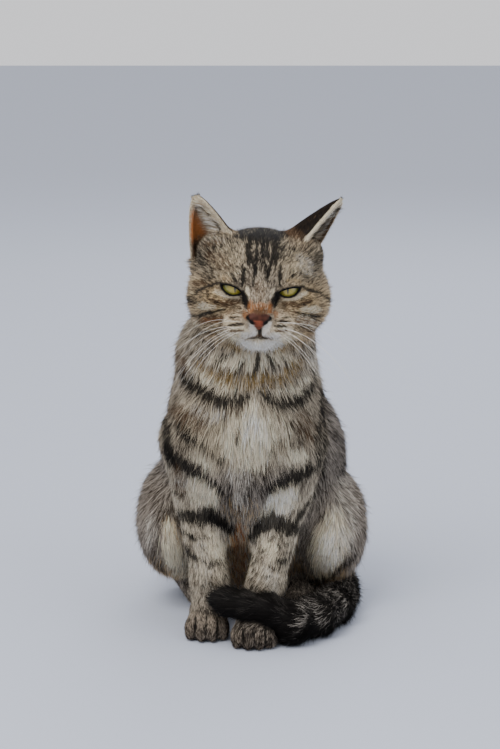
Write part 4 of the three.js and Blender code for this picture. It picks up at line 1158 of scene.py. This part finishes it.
pieceOf = tuft["piece"].astype("U16")
for part, name, x, middle in (("head", "head", toHead(root)[:, 0], 0), ("sides", "side", root[:, 0], 0),
                              ("thighs", "haunch", root[:, 0], 0), ("forelegs", "foreleg", root[:, 0], -10)):
    rows = tuft["piece"] == part
    pieceOf[rows] = np.where(x[rows] < middle, name + "_right", name + "_left")
pieceOf[(tuft["piece"] == "head") & (root[:, 1] < -80)] = "muzzle"
pieceOf[(tuft["piece"] == "head") & (root[:, 1] > -48)] = "nape"


# One node in a material with its settings, its numbers and its links.
def addNode(material, kind, inputs=None, links=None, **settings):
    node = material.node_tree.nodes.new(kind)
    for name, value in settings.items():
        setattr(node, name, value)
    for name, value in (inputs or {}).items():
        node.inputs[name].default_value = value
    for name, (source, output) in (links or {}).items():
        material.node_tree.links.new(source.outputs[output], node.inputs[name])
    return node


# A material, with its colour from a mesh attribute if one is named. Most are as dull as dry hair.
def addMaterial(name, roughness, colourFrom=None, **inputs):
    material = bpy.data.materials.new(name)
    material.use_nodes = True
    shader = material.node_tree.nodes["Principled BSDF"]
    values = {"Roughness": roughness, "Specular IOR Level": .12}
    values.update({key.replace("_", " "): value for key, value in inputs.items()})
    for key, value in values.items():
        shader.inputs[key].default_value = value
    if colourFrom:
        colour = addNode(material, "ShaderNodeAttribute", attribute_name=colourFrom)
        material.node_tree.links.new(colour.outputs["Color"], shader.inputs["Base Color"])
    return material, shader


# Grown hair, lying in locks: dull and soft, each lock in one tone that lightens to its tip in a painted
# highlight, over painted shade at its root.
coatMaterial = addMaterial("hairGrownInLocks", .62, "coatColour")[0]
for name in sorted(set(pieceOf)):
    rows = np.where(pieceOf == name)[0]
    faces = lockFaces[None] + (np.arange(len(rows)) * 4)[:, None, None]
    faces[wrong[rows]] = faces[wrong[rows]][:, :, ::-1]
    faces = faces.reshape(-1, 3)
    coat = addMesh("coat_" + name, toFrame(lockPoints[rows].reshape(-1, 3)), faces)
    uv = coat.data.uv_layers.new(name="OFBake")
    uv.data.foreach_set("uv", lockUv[rows].reshape(-1, 2)[faces.ravel()].astype(np.float32).ravel())
    setColour(coat, "coatColour", lockColour[rows].reshape(-1, 3))
    coat.data.normals_split_custom_set_from_vertices(shadeNormal[rows].reshape(-1, 3).astype(np.float32))
    coat.data.materials.append(coatMaterial)
    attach(coat, "root")
    say(f"{coat.name} with {len(rows)} locks, {len(faces)} triangles")

# Bare skin under the coat: rough and without gloss, so that gaps in the coat stay quiet.
skinMaterial = addMaterial("skinUnderHair", .8, "coatColour")[0]
# Nose leather, pebbled and slightly moist: a broad soft gloss broken by fine bumps.
leatherMaterial, shader = addMaterial("leatherPebbledMoist", .42, "coatColour")
place = addNode(leatherMaterial, "ShaderNodeTexCoord")
pebbles = addNode(leatherMaterial, "ShaderNodeTexVoronoi", {"Scale": 1400}, {"Vector": (place, "Object")})
bumps = addNode(leatherMaterial, "ShaderNodeBump", {"Strength": .35, "Distance": .0002},
                {"Height": (pebbles, "Distance")})
leatherMaterial.node_tree.links.new(bumps.outputs["Normal"], shader.inputs["Normal"])
skin.data.materials.clear()
skin.data.materials.append(skinMaterial)
skin.data.materials.append(leatherMaterial)
leatherFaces = (leather[triangles].mean(axis=1) > .5).astype(np.int32)
skin.data.polygons.foreach_set("material_index", leatherFaces)
skin.data.polygons.foreach_set("use_smooth", np.full(len(triangles), True))
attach(skin, "root")
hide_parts("head", "nose", "ear_left", "ear_right", "neck", "trunk", "thigh_left", "thigh_right",
            "hindfoot_left", "hindfoot_right", "foreleg_left", "foreleg_right", "forepaw_left",
            "forepaw_right", "tail_base", "tail_side", "tail_front", "tail_tip")


# A ball of rings about the y axis, with a point at the front and one at the back.
def addBall(name, centre, radius, rows=40, columns=64):
    t = np.linspace(0, math.pi, rows + 1)[1:-1]
    u = np.linspace(0, 2 * math.pi, columns, endpoint=False)
    ringPoints = np.stack([np.outer(np.sin(t), np.cos(u)), np.repeat(-np.cos(t)[:, None], columns, 1),
                           np.outer(np.sin(t), np.sin(u))], -1).reshape(-1, 3)
    ballPoints = np.concatenate([[[0, -1, 0]], ringPoints, [[0, 1, 0]]]) * radius
    faces = []
    last = 1 + (rows - 2) * columns
    for c in range(columns):
        d = (c + 1) % columns
        faces.append((0, 1 + c, 1 + d))
        for a in range(1, last, columns):
            b = a + columns
            faces += [(a + c, b + c, b + d), (a + c, b + d, a + d)]
        faces.append((last + c, len(ballPoints) - 1, last + d))
    return addMesh(name, toFrame(ballPoints + centre), np.array(faces))


# The iris and the slit are worked out round the line of gaze, in millimetres from its centre.
irisTones = {"middle": "8E7F29", "edge": "5F602A", "white": "2A2018", "pupil": "060505"}
# A living eye: coloured tissue under a wet, clear cornea that gives one sharp highlight.
eyeMaterial = addMaterial("corneaWetOverIris", .25, "eyeColour", Specular_IOR_Level=.5, Coat_Weight=.6,
                          Coat_Roughness=.03)[0]
iris = {name: hexColour(text) for name, text in irisTones.items()}
for name, eye in eyeForms.items():
    centre = fromHead(eye["at"][None])[0]
    ball = addBall("eyeball_" + name, centre, eyeValues["radius"])
    local = np.empty(len(ball.data.vertices) * 3, np.float32)
    ball.data.vertices.foreach_get("co", local)
    local = (local.reshape(-1, 3) - frameShift) * 1000 - centre
    gaze = eye["gaze"] / np.linalg.norm(eye["gaze"])
    sideways = np.cross(gaze, vec(0, 0, 1))
    sideways /= np.linalg.norm(sideways)
    x, z, depth = local @ sideways, local @ np.cross(sideways, gaze), local @ gaze
    reach = np.hypot(x, z)
    angle = np.arctan2(z, x)
    threads = noise(np.stack([np.cos(angle) * 14, np.sin(angle) * 14, reach * .35], 1), 1, 2)
    tone = iris["middle"] * (1 - ease(reach, 3.5, 8)[:, None]) + iris["edge"] * ease(reach, 3.5, 8)[:, None]
    # Painted shade: the iris is darker towards its top, where the upper lid shades it.
    tone = tone * ((.68 + .45 * threads) * (.7 + .4 * ease(-z, -5, 2)))[:, None]
    tone = mixed(tone, iris["white"], np.clip(ease(reach, 9.4, 9.9) + (depth <= 0), 0, 1))
    slit = 1 - (x / eyeValues["pupilHalfWidth"]) ** 2 - (z / eyeValues["pupilHalfHeight"]) ** 2
    tone = mixed(tone, iris["pupil"], ease(slit, -.35, .15) * (depth > 0))
    setColour(ball, "eyeColour", tone)
    ball.data.materials.append(eyeMaterial)
    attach(ball, "root")
    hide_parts("eye_" + name)

# Whiskers: thin tapering tubes in three rows on each side, in one mesh.
whiskerValues = {"length": 70, "rootRadius": .115, "tipRadius": .04, "rows": (-17.5, -21, -24.5),
                 "perRow": (2, 3, 3), "steps": 12, "sides": 5, "seed": 11}
whiskerPoints, whiskerFaces = [], []


def addWhisker(start, way, length, droop):
    base = len(whiskerPoints)
    steps, sides = whiskerValues["steps"], whiskerValues["sides"]
    way = way / np.linalg.norm(way)
    for t in np.arange(steps + 1) / steps:
        at = start + way * length * t + vec(0, 0, -1) * droop * t * t
        tangent = way * length + vec(0, 0, -2) * droop * t
        tangent = tangent / np.linalg.norm(tangent)
        sideways = np.cross(tangent, vec(0, 1, 0))
        sideways /= np.linalg.norm(sideways)
        upward = np.cross(sideways, tangent)
        r = whiskerValues["rootRadius"] * (1 - t) + whiskerValues["tipRadius"] * t
        for a in np.arange(sides) * 2 * math.pi / sides:
            whiskerPoints.append(at + (sideways * math.cos(a) + upward * math.sin(a)) * r)
    top = base + steps * sides
    for level in range(base, top, sides):
        for j in range(sides):
            a, b = level + j, level + (j + 1) % sides
            whiskerFaces.extend([(a, a + sides, b), (b, a + sides, b + sides)])
    for j in range(1, sides - 1):
        whiskerFaces.extend([(base, base + j, base + j + 1), (top, top + j + 1, top + j)])


whiskerRng = np.random.default_rng(whiskerValues["seed"])
for side in (-1, 1):
    for row, (height, number) in enumerate(zip(whiskerValues["rows"], whiskerValues["perRow"])):
        for k in range(number):
            start = onFace(side * (13 + 4.2 * k), height - .3 * k)
            out = vec(side, -.3 + .3 * k, .3 - .3 * row - .05 * k + whiskerRng.normal(0, .06))
            length = whiskerValues["length"] * (.72 + .14 * k) * whiskerRng.uniform(.85, 1.1)
            addWhisker(fromHead(start[None])[0], headTurn @ out, length, length * (.62 + .05 * row))
whiskers = addMesh("whiskers", toFrame(np.array(whiskerPoints)), np.array(whiskerFaces))
# Stiff grown whisker: smoother than the coat, so each one catches a thin line of light.
whiskers.data.materials.append(addMaterial("whiskerGrownStiff", .35, Base_Color=(*hexColour("E9E3D9"), 1))[0])
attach(whiskers, "root")
say("eyes and whiskers")

# Floor, light and camera.
floor = addMesh("floor", [(-3, -3, 0), (3, -3, 0), (3, 6, 0), (-3, 6, 0)], [(0, 1, 2, 3)])
# Matt paint in a pale cool grey: it takes the soft shadow and gives no reflection.
floor.data.materials.append(addMaterial("paintRolledMatt", .9, Base_Color=(*hexColour("BCC2D0"), 1))[0])

# Places and sizes of the lights are metres, their powers watts.
lightValues = {
    "sky": {"tone": "E0E0E3", "strength": 1.3},
    "lamps": {
        "keyLight": {"place": (-.8, -1.5, 2.0), "aim": (0, 0, .2), "size": 1.3, "power": 52,
                     "colour": (1, .98, .95)},
        "fillLight": {"place": (1.6, -1.2, .9), "aim": (0, 0, .2), "size": 1.6, "power": 12,
                      "colour": (.93, .96, 1)},
        "rimLight": {"place": (.4, 1.8, 1.6), "aim": (0, 0, .25), "size": 1.2, "power": 14,
                     "colour": (.95, .97, 1)},
    },
}
world = bpy.data.worlds.new("studio")
bpy.context.scene.world = world
world.use_nodes = True
sky = world.node_tree.nodes["Background"]
sky.inputs["Color"].default_value = (*hexColour(lightValues["sky"]["tone"]), 1)
sky.inputs["Strength"].default_value = lightValues["sky"]["strength"]
for name, values in lightValues["lamps"].items():
    light = bpy.data.lights.new(name, "AREA")
    light.energy = values["power"]
    light.size = values["size"]
    light.color = values["colour"]
    lamp = bpy.data.objects.new(name, light)
    lamp.location = values["place"]
    way = Vector(values["aim"]) - Vector(values["place"])
    lamp.rotation_euler = way.to_track_quat("-Z", "Y").to_euler()
    bpy.context.scene.collection.objects.link(lamp)

# Lengths are millimetres; pixelSize is what one pixel of the picture's height shows at the aim.
cameraValues = {"distance": 2000, "elevation": 12, "pixelSize": .84, "imageHeight": 749,
                "aim": (0, -50, 231.3), "sensor": 36, "nearest": .1}
camera = bpy.data.cameras.new("frontCamera")
cameraObject = bpy.data.objects.new("frontCamera", camera)
bpy.context.scene.collection.objects.link(cameraObject)
bpy.context.scene.camera = cameraObject
camera.sensor_width = cameraValues["sensor"]
pictureHeight = cameraValues["imageHeight"] * cameraValues["pixelSize"]
camera.lens = cameraValues["sensor"] * cameraValues["distance"] / pictureHeight
camera.clip_start = cameraValues["nearest"]
tilt = math.radians(cameraValues["elevation"])
back = np.array([0, -math.cos(tilt), math.sin(tilt)])
cameraObject.location = toFrame(np.array(cameraValues["aim"])) + back * cameraValues["distance"] / 1000
cameraObject.rotation_euler = (math.radians(90) - tilt, 0, 0)
